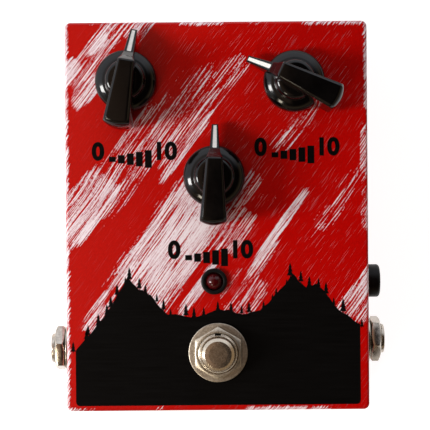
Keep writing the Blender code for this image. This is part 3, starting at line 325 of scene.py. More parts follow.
def redBrushedEnamel():
    size = brushwork
    made, tree, shader = startMaterial("redEnamelDryBrushedWhite", {"Specular IOR Level": 0.4})
    coords = addNode(tree, "ShaderNodeTexCoord").outputs

    # The walls are folded out flat round the face, so that a stroke runs on over the edge
    place = addNode(tree, "ShaderNodeSeparateXYZ", {0: coords["Object"]})
    depth = addNode(tree, "ShaderNodeMath", {0: faceHeight, 1: place.outputs["Z"]}, operation="SUBTRACT")
    outward = addNode(tree, "ShaderNodeVectorMath", {0: coords["Normal"], 1: (1.0, 1.0, 0.0)},
                      operation="MULTIPLY")
    shift = addNode(tree, "ShaderNodeVectorMath", {0: outward, "Scale": depth}, operation="SCALE")
    unfolded = addNode(tree, "ShaderNodeVectorMath", {0: coords["Object"], 1: shift}, operation="ADD")
    flat = addNode(tree, "ShaderNodeVectorMath", {0: unfolded, 1: (1 / mm, 1 / mm, 0.0)},
                   operation="MULTIPLY")

    # How full the brush was at each place
    load = None
    for x, y, angle, halfLong, halfWide, weight in brushBands:
        band = addNode(tree, "ShaderNodeMapping", {
            "Vector": flat, "Location": (x, y, 0.0), "Rotation": (0.0, 0.0, math.radians(angle)),
            "Scale": (halfLong, halfWide, 1.0)}, vector_type="TEXTURE")
        squared = addNode(tree, "ShaderNodeVectorMath", {0: band, 1: band}, operation="MULTIPLY")
        away = addNode(tree, "ShaderNodeVectorMath", {0: squared}, operation="LENGTH")
        filled = addNode(tree, "ShaderNodeMapRange", {
            "Value": away, "From Min": size["bandCore"], "To Min": weight, "To Max": 0.0},
            interpolation_type="SMOOTHSTEP")
        load = filled if load is None else addNode(
            tree, "ShaderNodeMath", {0: load, 1: filled}, operation="MAXIMUM")

    # The edges, where the brush caught; on the left edge the whole strip is also a painted highlight of the
    # lamps on the rim
    rims = addNode(tree, "ShaderNodeSeparateXYZ", {0: flat}).outputs
    wear = addNode(tree, "ShaderNodeTexNoise",
                   {"Vector": flat, "Scale": 1 / size["patchSize"], "Detail": 1.0}, noise_dimensions="2D")
    for axis, place, least in size["edges"]:
        away = addNode(tree, "ShaderNodeMath", {0: rims[axis], 1: place / mm * size["edgeShare"]},
                       operation="SUBTRACT")
        near = addNode(tree, "ShaderNodeMath", {0: away}, operation="ABSOLUTE")
        strip = addNode(tree, "ShaderNodeMapRange", {
            "Value": near, "From Min": size["edgeCore"], "From Max": size["edgeReach"],
            "To Min": size["edgeLoad"], "To Max": 0.0}, interpolation_type="SMOOTHSTEP")
        patchy = addNode(tree, "ShaderNodeMapRange", {
            "Value": wear, "From Min": size["patchFrom"], "From Max": size["patchTo"], "To Min": least},
            interpolation_type="SMOOTHSTEP")
        edge = addNode(tree, "ShaderNodeMath", {0: strip, 1: patchy}, operation="MULTIPLY")
        load = addNode(tree, "ShaderNodeMath", {0: load, 1: edge}, operation="MAXIMUM")

    # The hairs' own tracks, stretched along the stroke
    wander = addNode(tree, "ShaderNodeTexNoise",
                     {"Vector": flat, "Scale": 1 / size["wanderSize"], "Detail": 1.0},
                     noise_dimensions="2D")
    bent = addNode(tree, "ShaderNodeVectorMath", {
        0: wander.outputs["Color"], 1: (size["wander"], size["wander"], 0.0), 2: flat},
        operation="MULTIPLY_ADD")
    along = addNode(tree, "ShaderNodeVectorRotate",
                    {"Vector": bent, "Angle": -math.radians(size["strokeAngle"])}, rotation_type="Z_AXIS")
    tracks = None
    for length, width, share, detail in size["tracks"]:
        stretched = addNode(tree, "ShaderNodeVectorMath", {0: along, 1: (1 / length, 1 / width, 0.0)},
                            operation="MULTIPLY")
        noise = addNode(tree, "ShaderNodeTexNoise", {"Vector": stretched, "Scale": 1.0, "Detail": detail},
                        noise_dimensions="2D")
        part = addNode(tree, "ShaderNodeMath", {0: noise, 1: share}, operation="MULTIPLY")
        tracks = part if tracks is None else addNode(
            tree, "ShaderNodeMath", {0: tracks, 1: part}, operation="ADD")
    tracks = addNode(tree, "ShaderNodeMapRange", {
        "Value": tracks, "From Min": 0.5, "From Max": 0.5 + size["evenness"]}, clamp=False)

    # White stays where the load beats the gaps between hairs
    push = addNode(tree, "ShaderNodeMapRange", {
        "Value": load, "To Min": size["driest"], "To Max": size["fullest"]}, clamp=False)
    bare = addNode(tree, "ShaderNodeMapRange", {
        "Value": load, "From Max": size["touchedFrom"], "To Min": size["untouched"], "To Max": 0.0})
    push = addNode(tree, "ShaderNodeMath", {0: push, 1: bare}, operation="ADD")
    beats = addNode(tree, "ShaderNodeMath", {0: push, 1: tracks}, operation="ADD")
    paint = addNode(tree, "ShaderNodeMapRange", {
        "Value": beats, "From Min": -size["softness"], "From Max": size["softness"]},
        interpolation_type="SMOOTHSTEP")

    # Scratches, and no paint on the underside
    scratchLong, scratchWide, scratchLeast, scratchMost = size["scratch"]
    thin = addNode(tree, "ShaderNodeVectorMath", {
        0: along, 1: (1 / scratchLong, 1 / scratchWide, 0.0), 2: size["scratchShift"]},
        operation="MULTIPLY_ADD")
    thin = addNode(tree, "ShaderNodeTexNoise", {"Vector": thin, "Scale": 1.0, "Detail": 2.0},
                   noise_dimensions="2D")
    thin = addNode(tree, "ShaderNodeMapRange", {
        "Value": thin, "From Min": scratchLeast, "From Max": scratchLeast + size["scratchEdge"],
        "To Max": scratchMost})
    rightwards = addNode(tree, "ShaderNodeMapRange", {
        "Value": rims["X"], "From Min": size["scratchFrom"], "From Max": size["scratchTo"],
        "To Min": size["leastScratch"]}, interpolation_type="SMOOTHSTEP")
    thin = addNode(tree, "ShaderNodeMath", {0: thin, 1: rightwards}, operation="MULTIPLY")
    paint = addNode(tree, "ShaderNodeMath", {0: paint, 1: thin}, operation="MAXIMUM")
    upwards = addNode(tree, "ShaderNodeSeparateXYZ", {0: coords["Normal"]})
    above = addNode(tree, "ShaderNodeMapRange", {
        "Value": upwards.outputs["Z"], "From Min": size["underFrom"], "From Max": size["underTo"]})
    paint = addNode(tree, "ShaderNodeMath", {0: paint, 1: above}, operation="MULTIPLY")

    tint = addNode(tree, "ShaderNodeTexNoise", {"Vector": stretched, "Scale": 1.0, "Detail": 3.0},
                   noise_dimensions="2D")
    ground = addNode(tree, "ShaderNodeMix", {
        0: tint, 6: linearColour(size["redDeep"]), 7: linearColour(size["redBright"])}, data_type="RGBA")
    thick = addNode(tree, "ShaderNodeMapRange", {"Value": beats, "From Max": size["thickFrom"]})
    white = addNode(tree, "ShaderNodeMix", {
        0: thick, 6: linearColour(size["whiteThin"]), 7: linearColour(size["white"])}, data_type="RGBA")
    colour = addNode(tree, "ShaderNodeMix", {0: paint, 6: ground, 7: white}, data_type="RGBA")
    rough = addNode(tree, "ShaderNodeMapRange", {
        "Value": paint, "To Min": size["redRoughness"], "To Max": size["whiteRoughness"]})

    # Orange peel of the red, and the thickness of the white on it
    peel = addNode(tree, "ShaderNodeTexNoise", {
        "Vector": coords["Object"], "Scale": 1 / (size["peelSize"] * mm), "Detail": 2.0})
    height = addNode(tree, "ShaderNodeMath", {0: peel, 1: size["peelShare"], 2: paint},
                     operation="MULTIPLY_ADD")
    bump = addNode(tree, "ShaderNodeBump", {
        "Height": height, "Strength": 0.7, "Distance": size["paintThickness"] * mm})
    feed(tree, shader, {"Base Color": colour, "Roughness": rough, "Normal": bump})
    return made


# Plated and moulded finishes share one build: two tones mixed by a noise, its grain in the roughness, and
# a bump of the same grain. Grain and bump are in millimetres, and each comment says what the eye gets.
finishes = {
    # Bright nickel on turned brass: warm grey mirror, softened by fine handling marks
    "polishedNickelPlate": {"tones": ("#A79D92", "#CFC6BA"), "rough": (0.13, 0.26), "grain": 1.6,
                            "detail": 5.0, "bump": 0.004, "metallic": 1.0},
    # Nickel on finely turned brass: a soft mirror without clouds
    "turnedNickelPlate": {"tones": ("#BBAF9D", "#D2C6B4"), "rough": (0.22, 0.30), "grain": 0.45,
                          "detail": 3.0, "bump": 0.003, "metallic": 1.0},
    # Barrel-plated nickel of washers and nuts: the same warm grey, satin from the tumbling
    "satinNickelPlate": {"tones": ("#B0A594", "#D6CCBC"), "rough": (0.36, 0.50), "grain": 0.5, "detail": 4.0,
                         "bump": 0.005, "metallic": 1.0},
    # Zinc on pressed steel: cooler, duller and a little cloudy
    "zincPlatedSteel": {"tones": ("#8F9194", "#B9BBBD"), "rough": (0.28, 0.46), "grain": 2.2, "detail": 4.0,
                        "bump": 0.006, "metallic": 1.0},
    # Turned brass of the small screws, with fine lathe marks
    "turnedBrass": {"tones": ("#8A6A2F", "#C29A4C"), "rough": (0.22, 0.38), "grain": 0.3, "detail": 2.0,
                    "bump": 0.004, "metallic": 1.0},
    # Compression-moulded phenolic: jet black and glossy, with faint flow and handling haze
    "mouldedBlackPhenolic": {"tones": ("#040303", "#0B0909"), "rough": (0.07, 0.16), "grain": 5.0,
                             "detail": 6.0, "bump": 0.004, "specular": 0.36},
    # Injection-moulded black ABS with a fine spark-eroded grain
    "grainedBlackAbs": {"tones": ("#050505", "#0E0D0D"), "rough": (0.34, 0.50), "grain": 0.35, "detail": 3.0,
                        "bump": 0.010, "specular": 0.2},
    # Moulded blue nylon of the switch body
    "mouldedBlueNylon": {"tones": ("#12306B", "#1E4A94"), "rough": (0.38, 0.52), "grain": 0.8, "detail": 3.0,
                         "bump": 0.010},
    # Cotton and phenolic sheet of the jacks' stacks: brown, with the cloth's weave in it
    "brownPhenolicLaminate": {"tones": ("#4A2A15", "#7A4C28"), "rough": (0.45, 0.62),
                              "grain": (0.25, 1.2, 0.25), "detail": 2.0, "bump": 0.015},
    # Green solder mask over woven glass and copper tracks
    "greenMaskedLaminate": {"tones": ("#0A3A20", "#14623A"), "rough": (0.25, 0.42), "grain": (3.5, 0.9, 3.5),
                            "detail": 1.0, "bump": 0.020},
    # Moulded rubber: dull black with a dusty bloom
    "mouldedRubber": {"tones": ("#121212", "#252525"), "rough": (0.70, 0.88), "grain": 0.7, "detail": 4.0,
                      "bump": 0.030},
    # Extruded PVC of the hook-up wires, red and white
    "extrudedRedPvc": {"tones": ("#8E100E", "#B51A16"), "rough": (0.35, 0.50), "grain": 1.0, "detail": 2.0,
                       "bump": 0.006},
    "extrudedWhitePvc": {"tones": ("#C9C7C0", "#E4E2DB"), "rough": (0.35, 0.50), "grain": 1.0, "detail": 2.0,
                         "bump": 0.006},
    # White filling enamel of the pointer lines, a little thin at its edges
    "whiteFillingEnamel": {"tones": ("#D9D6D0", "#F4F2EE"), "rough": (0.35, 0.55), "grain": 0.5,
                           "detail": 4.0, "bump": 0.015},
}


def grainedFinish(name):
    look = finishes[name]
    made, tree, shader = startMaterial(name, {"Metallic": look.get("metallic", 0.0),
                                              "Specular IOR Level": look.get("specular", 0.5)})
    coords = addNode(tree, "ShaderNodeTexCoord").outputs["Object"]
    grains = look["grain"] if isinstance(look["grain"], tuple) else (look["grain"],) * 3
    spread = addNode(tree, "ShaderNodeMapping",
                     {"Vector": coords, "Scale": tuple(1 / (g * mm) for g in grains)})
    grain = addNode(tree, "ShaderNodeTexNoise", {
        "Vector": spread, "Scale": 1.0, "Detail": look["detail"], "Roughness": 0.6})
    mottled = addNode(tree, "ShaderNodeMapRange", {"Value": grain, "From Min": 0.30, "From Max": 0.70})
    twoTone(tree, shader, mottled, look)
    bump = addNode(tree, "ShaderNodeBump", {"Height": grain, "Strength": 0.6, "Distance": look["bump"] * mm})
    feed(tree, shader, {"Normal": bump})
    return made


# Black brushing enamel: near black, half matt, with the faint tracks of a flat brush, in millimetres
printPaint = {"tones": ("#020202", "#070606"), "trackLong": 14.0, "trackWide": 0.5, "rough": (0.32, 0.50),
              "bump": 0.02}


def blackBrushEnamel():
    look = printPaint
    made, tree, shader = startMaterial("blackBrushingEnamel", {"Specular IOR Level": 0.1})
    coords = addNode(tree, "ShaderNodeTexCoord").outputs["Object"]
    along = addNode(tree, "ShaderNodeMapping", {
        "Vector": coords, "Scale": (1 / (look["trackLong"] * mm), 1 / (look["trackWide"] * mm), 1.0)})
    tracks = addNode(tree, "ShaderNodeTexNoise", {"Vector": along, "Scale": 1.0, "Detail": 3.0},
                     noise_dimensions="2D")
    twoTone(tree, shader, tracks, look)
    bump = addNode(tree, "ShaderNodeBump", {"Height": tracks, "Strength": 0.5, "Distance": look["bump"] * mm})
    feed(tree, shader, {"Normal": bump})
    return made


# Cast epoxy of the light, tinted deep red and unlit: clear skin, dark body, a slight cloud
lensEpoxy = {"tones": ("#340306", "#56070B"), "cloud": 1.2, "rough": (0.10, 0.18)}


def darkRedEpoxy():
    look = lensEpoxy
    made, tree, shader = startMaterial("castDarkRedEpoxy", {
        "Transmission Weight": 0.2, "IOR": 1.53, "Specular IOR Level": 0.3})
    coords = addNode(tree, "ShaderNodeTexCoord").outputs["Object"]
    cloud = addNode(tree, "ShaderNodeTexNoise",
                    {"Vector": coords, "Scale": 1 / (look["cloud"] * mm), "Detail": 2.0})
    twoTone(tree, shader, cloud, look)
    return made


redEnamel = redBrushedEnamel()
blackPaint = blackBrushEnamel()
epoxy = darkRedEpoxy()
plain = {name: grainedFinish(name) for name in finishes}
print("materials made")


# Die-cast box: walls that lean in, a rounded top rim, and the holes of what is fitted to it
box = {
    "cornerRadius": 1.8, "rimRadius": 0.9, "lidRimRadius": 1.0, "wall": 2.3, "topPlate": 2.5, "draft": 0.8,
    "cornerSteps": 10, "rimSteps": 6, "post": 4.2, "postInset": 6.0, "postRoot": 1.0,
    "seam": 4.0, "lidPlate": 2.4, "lidRounding": 1.0,
    "tongue": 1.2, "tongueClearance": 0.5, "tongueRounding": 0.3,
    "screwHead": 3.55, "screwShank": 1.8, "screwHeadDepth": 2.1, "screwRim": 0.3, "screwHoleDepth": 8.0,
    # holes: the node that each one is for, the wall's side, the radius
    "faceHoles": [("pot_bush_time", 4.3), ("pot_bush_level", 4.3), ("pot_bush_repeats", 4.3),
                  ("footswitch_washer", 6.3), ("led_bezel", 3.75)],
    "wallHoles": [("jack_washer_left", -1, 5.05), ("jack_washer_right", 1, 5.05), ("power_jack_pin", 1, 4.2)],
    "wallHoleDepth": 8.0,
}


def leaningBlock(halfX, halfY, low, high, corner, rimRadius, rimAtTop):
    shape = bmesh.new()
    bmesh.ops.create_cube(shape, size=2.0)
    lean = math.tan(math.radians(box["draft"])) * (high - low) if rimAtTop else 0.0
    for vert in shape.verts:
        shrink = lean if vert.co.z > 0 else 0.0
        vert.co.x *= halfX - shrink
        vert.co.y *= halfY - shrink
        vert.co.z = high if vert.co.z > 0 else low
    middle = (low + high) / 2
    upright = [e for e in shape.edges if (e.verts[0].co.z - middle) * (e.verts[1].co.z - middle) < 0]
    bmesh.ops.bevel(shape, geom=upright, offset=corner * mm, segments=box["cornerSteps"], profile=0.5,
                    affect="EDGES")
    level = high if rimAtTop else low
    around = [e for e in shape.edges if all(abs(v.co.z - level) < tiny for v in e.verts)]
    bmesh.ops.bevel(shape, geom=around, offset=rimRadius * mm, segments=box["rimSteps"], profile=0.5,
                    affect="EDGES")
    return closeShape(shape)


def drill(radius, low, high, steps=smallSteps):
    # A plain round cutter along Z, in millimetres
    return lathe([(0, high, 0), (radius, high, 0), (radius, low, 0), (0, low, 0)], steps)


def postPlaces():
    inset = box["postInset"] * mm
    return [(i * (halfWidth - inset), j * (halfLength - inset)) for i in (-1, 1) for j in (-1, 1)]


def makeShell():
    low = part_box("enclosure_shell")[0].z
    ceiling = faceHeight - box["topPlate"] * mm
    wall = box["wall"] * mm
    base = low / mm
    inside = ceiling / mm
    shell = leaningBlock(halfWidth, halfLength, low, faceHeight, box["cornerRadius"], box["rimRadius"], True)
    room = leaningBlock(halfWidth - wall, halfLength - wall, low - farPast * mm, ceiling,
                        box["cornerRadius"] / 2, box["rimRadius"] / 2, True)
    shell = combine(shell, room, "DIFFERENCE")
    for x, y in postPlaces():
        shell = combine(shell, placed(drill(box["post"], base, inside + box["postRoot"]), x, y), "UNION")
        hole = drill(box["screwShank"], base - farPast, base + box["screwHoleDepth"])
        shell = combine(shell, placed(hole, x, y), "DIFFERENCE")
    for node, radius in box["faceHoles"]:
        spot = middleOf(node)
        hole = drill(radius, inside - farPast, faceHeight / mm + farPast)
        shell = combine(shell, placed(hole, spot.x, spot.y), "DIFFERENCE")
    for node, side, radius in box["wallHoles"]:
        spot = middleOf(node)
        hole = drill(radius, halfWidth / mm - box["wallHoleDepth"], halfWidth / mm + farPast)
        hole = placed(hole, 0.0, spot.y, spot.z, Matrix.Rotation(side * math.pi / 2, 4, "Y"))
        shell = combine(shell, hole, "DIFFERENCE")
    finishPiece("paintedShell", shell, redEnamel, "case", "red_enamel", "enclosure_shell")


def makeLid():
    low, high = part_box("base_lid")
    base = low.z / mm
    seam = base + box["seam"]
    floor = base + box["lidPlate"]
    lid = leaningBlock(halfWidth, halfLength, low.z, seam * mm, box["cornerRadius"], box["lidRimRadius"],
                       False)
    border = box["wall"] + box["tongueClearance"] + box["tongue"]
    pad = box["postInset"] + box["post"] + box["tongueClearance"]
    fullX = 2 * halfWidth / mm
    fullY = 2 * halfLength / mm
    for insetX, insetY in ((border, pad), (pad, border)):
        hollow = plate(fullX - 2 * insetX, fullY - 2 * insetY, floor, seam + farPast, box["lidRounding"])
        lid = combine(lid, hollow, "DIFFERENCE")
    ribX = fullX / 2 - border + box["tongue"] / 2
    ribY = fullY / 2 - border + box["tongue"] / 2
    longX = fullX - 2 * pad - box["tongueClearance"]
    longY = fullY - 2 * pad - box["tongueClearance"]
    for side in (-1, 1):
        for width, length, x, y in ((box["tongue"], longY, side * ribX, 0.0),
                                    (longX, box["tongue"], 0.0, side * ribY)):
            rib = plate(width, length, floor - box["lidPlate"] / 4, high.z / mm, box["tongueRounding"], x, y)
            lid = combine(lid, rib, "UNION")
    sink = lathe([(0, seam + 2 * past, 0), (box["screwShank"], seam + 2 * past, 0),
                  (box["screwShank"], base + box["screwHeadDepth"], 0),
                  (box["screwHead"], base + box["screwRim"], 0),
                  (box["screwHead"], base - past, 0), (0, base - past, 0)], screwSteps)
    for x, y in postPlaces():
        lid = combine(lid, placed(sink.copy(), x, y), "DIFFERENCE")
    finishPiece("paintedLid", lid, redEnamel, "case", "red_enamel", "base_lid")


makeShell()
makeLid()
print("box and lid made")


# Countersunk lid screws with a tapered cross recess, and stick-on rubber feet with a soft lower edge
lidScrew = {"head": 3.1, "headDepth": 1.8, "headFace": 2.85, "headEdge": 0.12, "headRounding": 0.1,
            "neckRounding": 0.2, "shank": 1.5, "length": 11.0, "recess": 3.4, "recessWidth": 0.8,
            "recessDepth": 1.0, "recessTaper": (0.45, 0.7), "turnEach": 37.0}
foot = {"radius": 5.8, "taper": 0.7, "softEdge": 0.6, "topRounding": 0.15, "dimple": 0.25,
        "dimpleRadius": 2.4, "dimpleSlope": 0.4, "dimpleRounding": 0.1}


def makeScrews():
    size = lidScrew
    shank = size["shank"]
    blank = lathe([(0, size["length"], 0), (shank / 2, size["length"], 0),
                   (shank, size["length"] - shank / 2, 0), (shank, size["headDepth"], size["neckRounding"]),
                   (size["head"], size["headEdge"], size["headRounding"]), (size["headFace"], 0, 0),
                   (0, 0, 0)], screwSteps)
    taperX, taperY = size["recessTaper"]
    for turn in (0, 90):
        arm = plate(size["recess"], size["recessWidth"], -past, size["recessDepth"])
        for vert in arm.vertices:  # the recess narrows on its way in
            if vert.co.z > 0:
                vert.co.x *= taperX
                vert.co.y *= taperY
        blank = combine(blank, placed(arm, turn=Matrix.Rotation(math.radians(turn), 4, "Z")), "DIFFERENCE")
    for number in range(1, 5):
        node = f"lid_screw_{number}"
        spot = middleOf(node)
        turned = Matrix.Rotation(math.radians(size["turnEach"] * number), 4, "Z")
        finishPiece(f"lidScrew{number}", placed(blank.copy(), spot.x, spot.y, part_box(node)[0].z, turned),
                    plain["zincPlatedSteel"], "case", "zinc_steel", node)


def makeFeet():
    size = foot
    for number in range(1, 5):
        node = f"rubber_foot_{number}"
        low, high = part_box(node)
        spot = middleOf(node)
        top = (high.z - low.z) / mm
        shape = lathe([
            (0, top, 0), (size["radius"], top, size["topRounding"]),
            (size["radius"] - size["taper"], 0, size["softEdge"]),
            (size["dimpleRadius"] + size["dimpleSlope"], 0, size["dimpleRounding"]),
            (size["dimpleRadius"], size["dimple"], size["dimpleRounding"]), (0, size["dimple"], 0)],
            smallSteps)
        finishPiece(f"rubberFoot{number}", placed(shape, spot.x, spot.y, low.z), plain["mouldedRubber"],
                    "case", "rubber", node)


makeScrews()
makeFeet()
print("screws and feet made")


# Skirted pointer knobs, in millimetres from the knob's own foot, pointer towards +Y
knob = {
    "height": 16.0, "collarRadius": 6.0, "collarHeight": 9.0, "collarRounding": 1.5, "fillet": 0.35,
    # the shoulder that falls from the collar to the skirt's rim: radius, height, rounding
    "shoulder": [(7.22, 5.14, 4.0), (8.24, 4.54, 4.0), (8.99, 3.85, 2.2), (9.35, 3.1, 1.6), (9.4, 2.5, 2.0)],
    "skirtRadius": 9.4, "shoulderTop": 5.5, "footRounding": 0.25,
    # the bar: its side view from where the tail starts to fall, then y, height, rounding along the nose
    "tail": 14.9, "tailFall": (2.4, 3.84), "tailSteps": 10, "tailCorner": 1.0, "floor": 1.6, "noseSteps": 5,
    "nose": [(5.2, 16.0, 0.9), (6.8, 12.16, 0.5), (8.14, 9.6, 1.2), (15.8, 3.04, 0.4), (15.8, 2.2, 0)],
    # how wide its flat top and each side facet are, at the tail, at the front and on the nose
    "halfWidths": [(-14.9, 3.25), (5.2, 1.9), (6.8, 1.5), (8.14, 1.25), (15.8, 0.74)],
    "facets": [(-14.9, 0.80), (5.2, 0.55), (6.8, 0.25), (15.8, 0.25)],
    "facetDrop": 0.9, "sideSlope": 1.0, "edge": 0.28, "edgeSteps": 4, "bow": 0.8, "bowFrom": -9.0,
    "bowSteps": 8, "well": 7.2, "wellDepth": 3.8, "bore": 3.475, "boreDepth": 7.8,
    "lineWidth": 1.36, "lineTipWidth": 1.0, "lineDepth": 0.3, "lineSink": 0.05, "lineStart": 8.37,
    "lineEnd": 15.48, "lineGap": 0.02, "lineRoundShare": 0.6,
    "screwHole": 1.4, "screwHolePast": 0.3, "screwHeight": 7.0,
    "turns": {"time": -9.5, "level": 64.0, "repeats": -1.5},
}


def along(table, y):
    # The value at y in a table of (y, value) rows
    if y <= table[0][0]:
        return table[0][1]
    for (y0, value0), (y1, value1) in zip(table, table[1:]):
        if y <= y1:
            return value0 + (value1 - value0) * (y - y0) / (y1 - y0)
    return table[-1][1]


def knobBar():
    # A loft through six-cornered sections, every corner a little round
    size = knob
    fallLong, fallHigh = size["tailFall"]
    sideView = []
    for step in range(size["tailSteps"] + 1):
        angle = math.pi / 2 * step / size["tailSteps"]
        sideView.append((-size["tail"] + fallLong * (1 - math.cos(angle)),
                         size["height"] - fallHigh * (1 - math.sin(angle))))
    sideView += [tuple(spot)
                 for spot in arcCorners([(*sideView[-1], 0)] + size["nose"], size["noseSteps"])][1:]
    slope = math.tan(math.radians(size["sideSlope"]))
    floor = size["floor"]
    edge = size["edge"]
    spread = [1 - 2 * k / size["bowSteps"] for k in range(1, size["bowSteps"])]
    shape = bmesh.new()
    rings = []
    for y, height in sideView:
        gone = max(0.0, size["tailCorner"] - (y + size["tail"])) / size["tailCorner"]
        half = along(size["halfWidths"], y) - size["tailCorner"] * (1 - math.sqrt(1 - gone ** 2))
        wall = half + along(size["facets"], y)
        side = height - (wall - half) * size["facetDrop"]
        toe = wall + slope * (side - floor)
        corners = [(-half, height, edge), (-wall, side, edge), (-toe, floor, 0)]
        corners += [(-toe * share, floor, 0) for share in spread]
        corners += [(toe, floor, 0), (wall, side, edge), (half, height, edge)]
        corners += [(half * share, height, 0) for share in spread]
        bow = size["bow"] * max(0.0, (size["bowFrom"] - y) / (size["bowFrom"] + size["tail"]))
        rings.append([shape.verts.new((x * mm, (y + bow * (x / wall) ** 2) * mm, z * mm))
                      for x, z in arcCorners(corners, size["edgeSteps"])])
    for back, front in zip(rings, rings[1:]):
        for i in range(len(back)):
            j = (i + 1) % len(back)
            shape.faces.new((back[i], back[j], front[j], front[i]))
    shape.faces.new(rings[0])
    shape.faces.new(rings[-1])
    return closeShape(shape)


def lineShape(low, high, shrink):
    # The white line's outline, laid on the nose's long slope
    size = knob
    (startY, startHeight, _), (endY, endHeight, _) = size["nose"][2:4]
    rise = (endHeight - startHeight) / (endY - startY)
    middle = (size["lineStart"] + size["lineEnd"]) / 2
    level = startHeight + rise * (middle - startY)
    end = (size["lineEnd"] - size["lineStart"]) / 2 * math.hypot(1.0, rise) - shrink
    half = size["lineWidth"] / 2 - shrink
    tip = size["lineTipWidth"] / 2 - shrink
    rounding = half * size["lineRoundShare"]
    corners = [(-half, -end, rounding), (half, -end, rounding), (tip, end, 0), (-tip, end, 0)]
    shape = slab(arcCorners(corners, fineArc), low, high)
    return placed(shape, 0.0, middle * mm, level * mm, Matrix.Rotation(math.atan(rise), 4, "X"))


def knobShape():
    size = knob
    shape = lathe([
        (0, size["collarHeight"], 0), (size["collarRadius"], size["collarHeight"], size["collarRounding"]),
        (size["collarRadius"], size["shoulderTop"], size["fillet"])] + size["shoulder"] + [
        (size["skirtRadius"], 0, size["footRounding"]), (0, 0, 0)], wideSteps, fineArc)
    shape = combine(shape, knobBar(), "UNION")
    hollow = lathe([(0, size["boreDepth"], 0), (size["bore"], size["boreDepth"], 0),
                    (size["bore"], size["wellDepth"], 0), (size["well"], size["wellDepth"], 0),
                    (size["well"], -past, 0), (0, -past, 0)], smallSteps)
    shape = combine(shape, hollow, "DIFFERENCE")
    hole = drill(size["screwHole"], 0, size["collarRadius"] + size["screwHolePast"], holeSteps)
    hole = placed(hole, z=size["screwHeight"] * mm, turn=Matrix.Rotation(math.pi / 2, 4, "Y"))
    shape = combine(shape, hole, "DIFFERENCE")
    return combine(shape, lineShape(-size["lineDepth"], size["lineDepth"] * 3, 0.0), "DIFFERENCE")


def makeKnobs():
    shape = knobShape()
    line = lineShape(-knob["lineDepth"], -knob["lineSink"], knob["lineGap"])
    for name, degrees in knob["turns"].items():
        axis = middleOf(f"pot_bush_{name}")
        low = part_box(f"knob_{name}")[0].z
        turn = Matrix.Rotation(math.radians(degrees), 4, "Z")
        finishPiece(f"knob_{name}_moulding", placed(shape.copy(), axis.x, axis.y, low, turn),
                    plain["mouldedBlackPhenolic"], f"{name}_knob", "black_phenolic", f"knob_{name}")
        finishPiece(f"knob_{name}_line", placed(line.copy(), axis.x, axis.y, low, turn),
                    plain["whiteFillingEnamel"], f"{name}_knob", "black_phenolic")


makeKnobs()
print("knobs made")


# A thread as a helical ridge, half sunk in the bush that it belongs to
def threadTree():
    tree, sizes = startGeometryTree("threadRidge", {
        "Radius": 6.0 * mm, "Pitch": 0.8 * mm, "Turns": 2.0, "Bottom": 0.0, "Ridge": 0.2 * mm})
    rise = addNode(tree, "ShaderNodeMath", {0: sizes["Pitch"], 1: sizes["Turns"]}, operation="MULTIPLY")
    helix = addNode(tree, "GeometryNodeCurveSpiral", {
        "Resolution": 64, "Rotations": sizes["Turns"], "Start Radius": sizes["Radius"],
        "End Radius": sizes["Radius"], "Height": rise})
    section = addNode(tree, "GeometryNodeCurvePrimitiveCircle", {"Resolution": 8, "Radius": sizes["Ridge"]})
    helical = addNode(tree, "GeometryNodeCurveToMesh",
                      {"Fill Caps": True, "Curve": helix, "Profile Curve": section})
    lift = addNode(tree, "ShaderNodeCombineXYZ", {"Z": sizes["Bottom"]})
    raised = addNode(tree, "GeometryNodeTransform", {"Geometry": helical, "Translation": lift})
    return endGeometryTree(tree, sizes, raised)


ridgeTree = threadTree()


def threadMesh(radius, pitch, bottom, top, ridge, finish):
    mesh = runTree(ridgeTree, {"Radius": radius * mm, "Pitch": pitch * mm, "Turns": (top - bottom) / pitch,
                               "Bottom": bottom * mm, "Ridge": ridge * mm, "Finish": finish})
    shape = bmesh.new()
    shape.from_mesh(mesh)
    return closeShape(shape)


# Hexagon nuts, chamfered on both faces, with a small lead-in at the thread
nutShape = {"leadIn": 0.3, "faceInset": 0.25, "fallShare": 0.5, "cornerPast": 0.01, "clearance": 0.05,
            "edge": 0.10}


def hexNut(flats, height, bush):
    # A corner points towards +Y
    corner = flats / math.sqrt(3)
    prism = placed(lathe([(0, height, 0), (corner, height, 0), (corner, 0, 0), (0, 0, 0)], 6),
                   turn=Matrix.Rotation(math.pi / 2, 4, "Z"))
    flatRadius = flats / 2 - nutShape["faceInset"]
    fall = (corner - flatRadius) * nutShape["fallShare"]
    rim = corner + nutShape["cornerPast"]
    lens = lathe([(0, height + tiny, 0), (flatRadius, height + tiny, 0), (rim, height - fall, 0),
                  (rim, fall, 0), (flatRadius, -tiny, 0), (0, -tiny, 0)], wideSteps)
    bore = bush + nutShape["clearance"]
    leadIn = nutShape["leadIn"]
    wide = bore + leadIn
    hole = lathe([(0, height + past, 0), (wide, height + past, 0), (wide, height, 0),
                  (bore, height - leadIn, 0), (bore, leadIn, 0),
                  (wide, 0, 0), (wide, -past, 0), (0, -past, 0)])
    return combine(combine(prism, lens, "INTERSECT"), hole, "DIFFERENCE")


def ringShape(inner, outer, height, rounding, edge, steps=roundSteps):
    # A flat washer, its upper outer edge rounded
    return lathe([(inner, height, edge), (outer, height, rounding), (outer, 0, edge), (inner, 0, edge)],
                 steps)


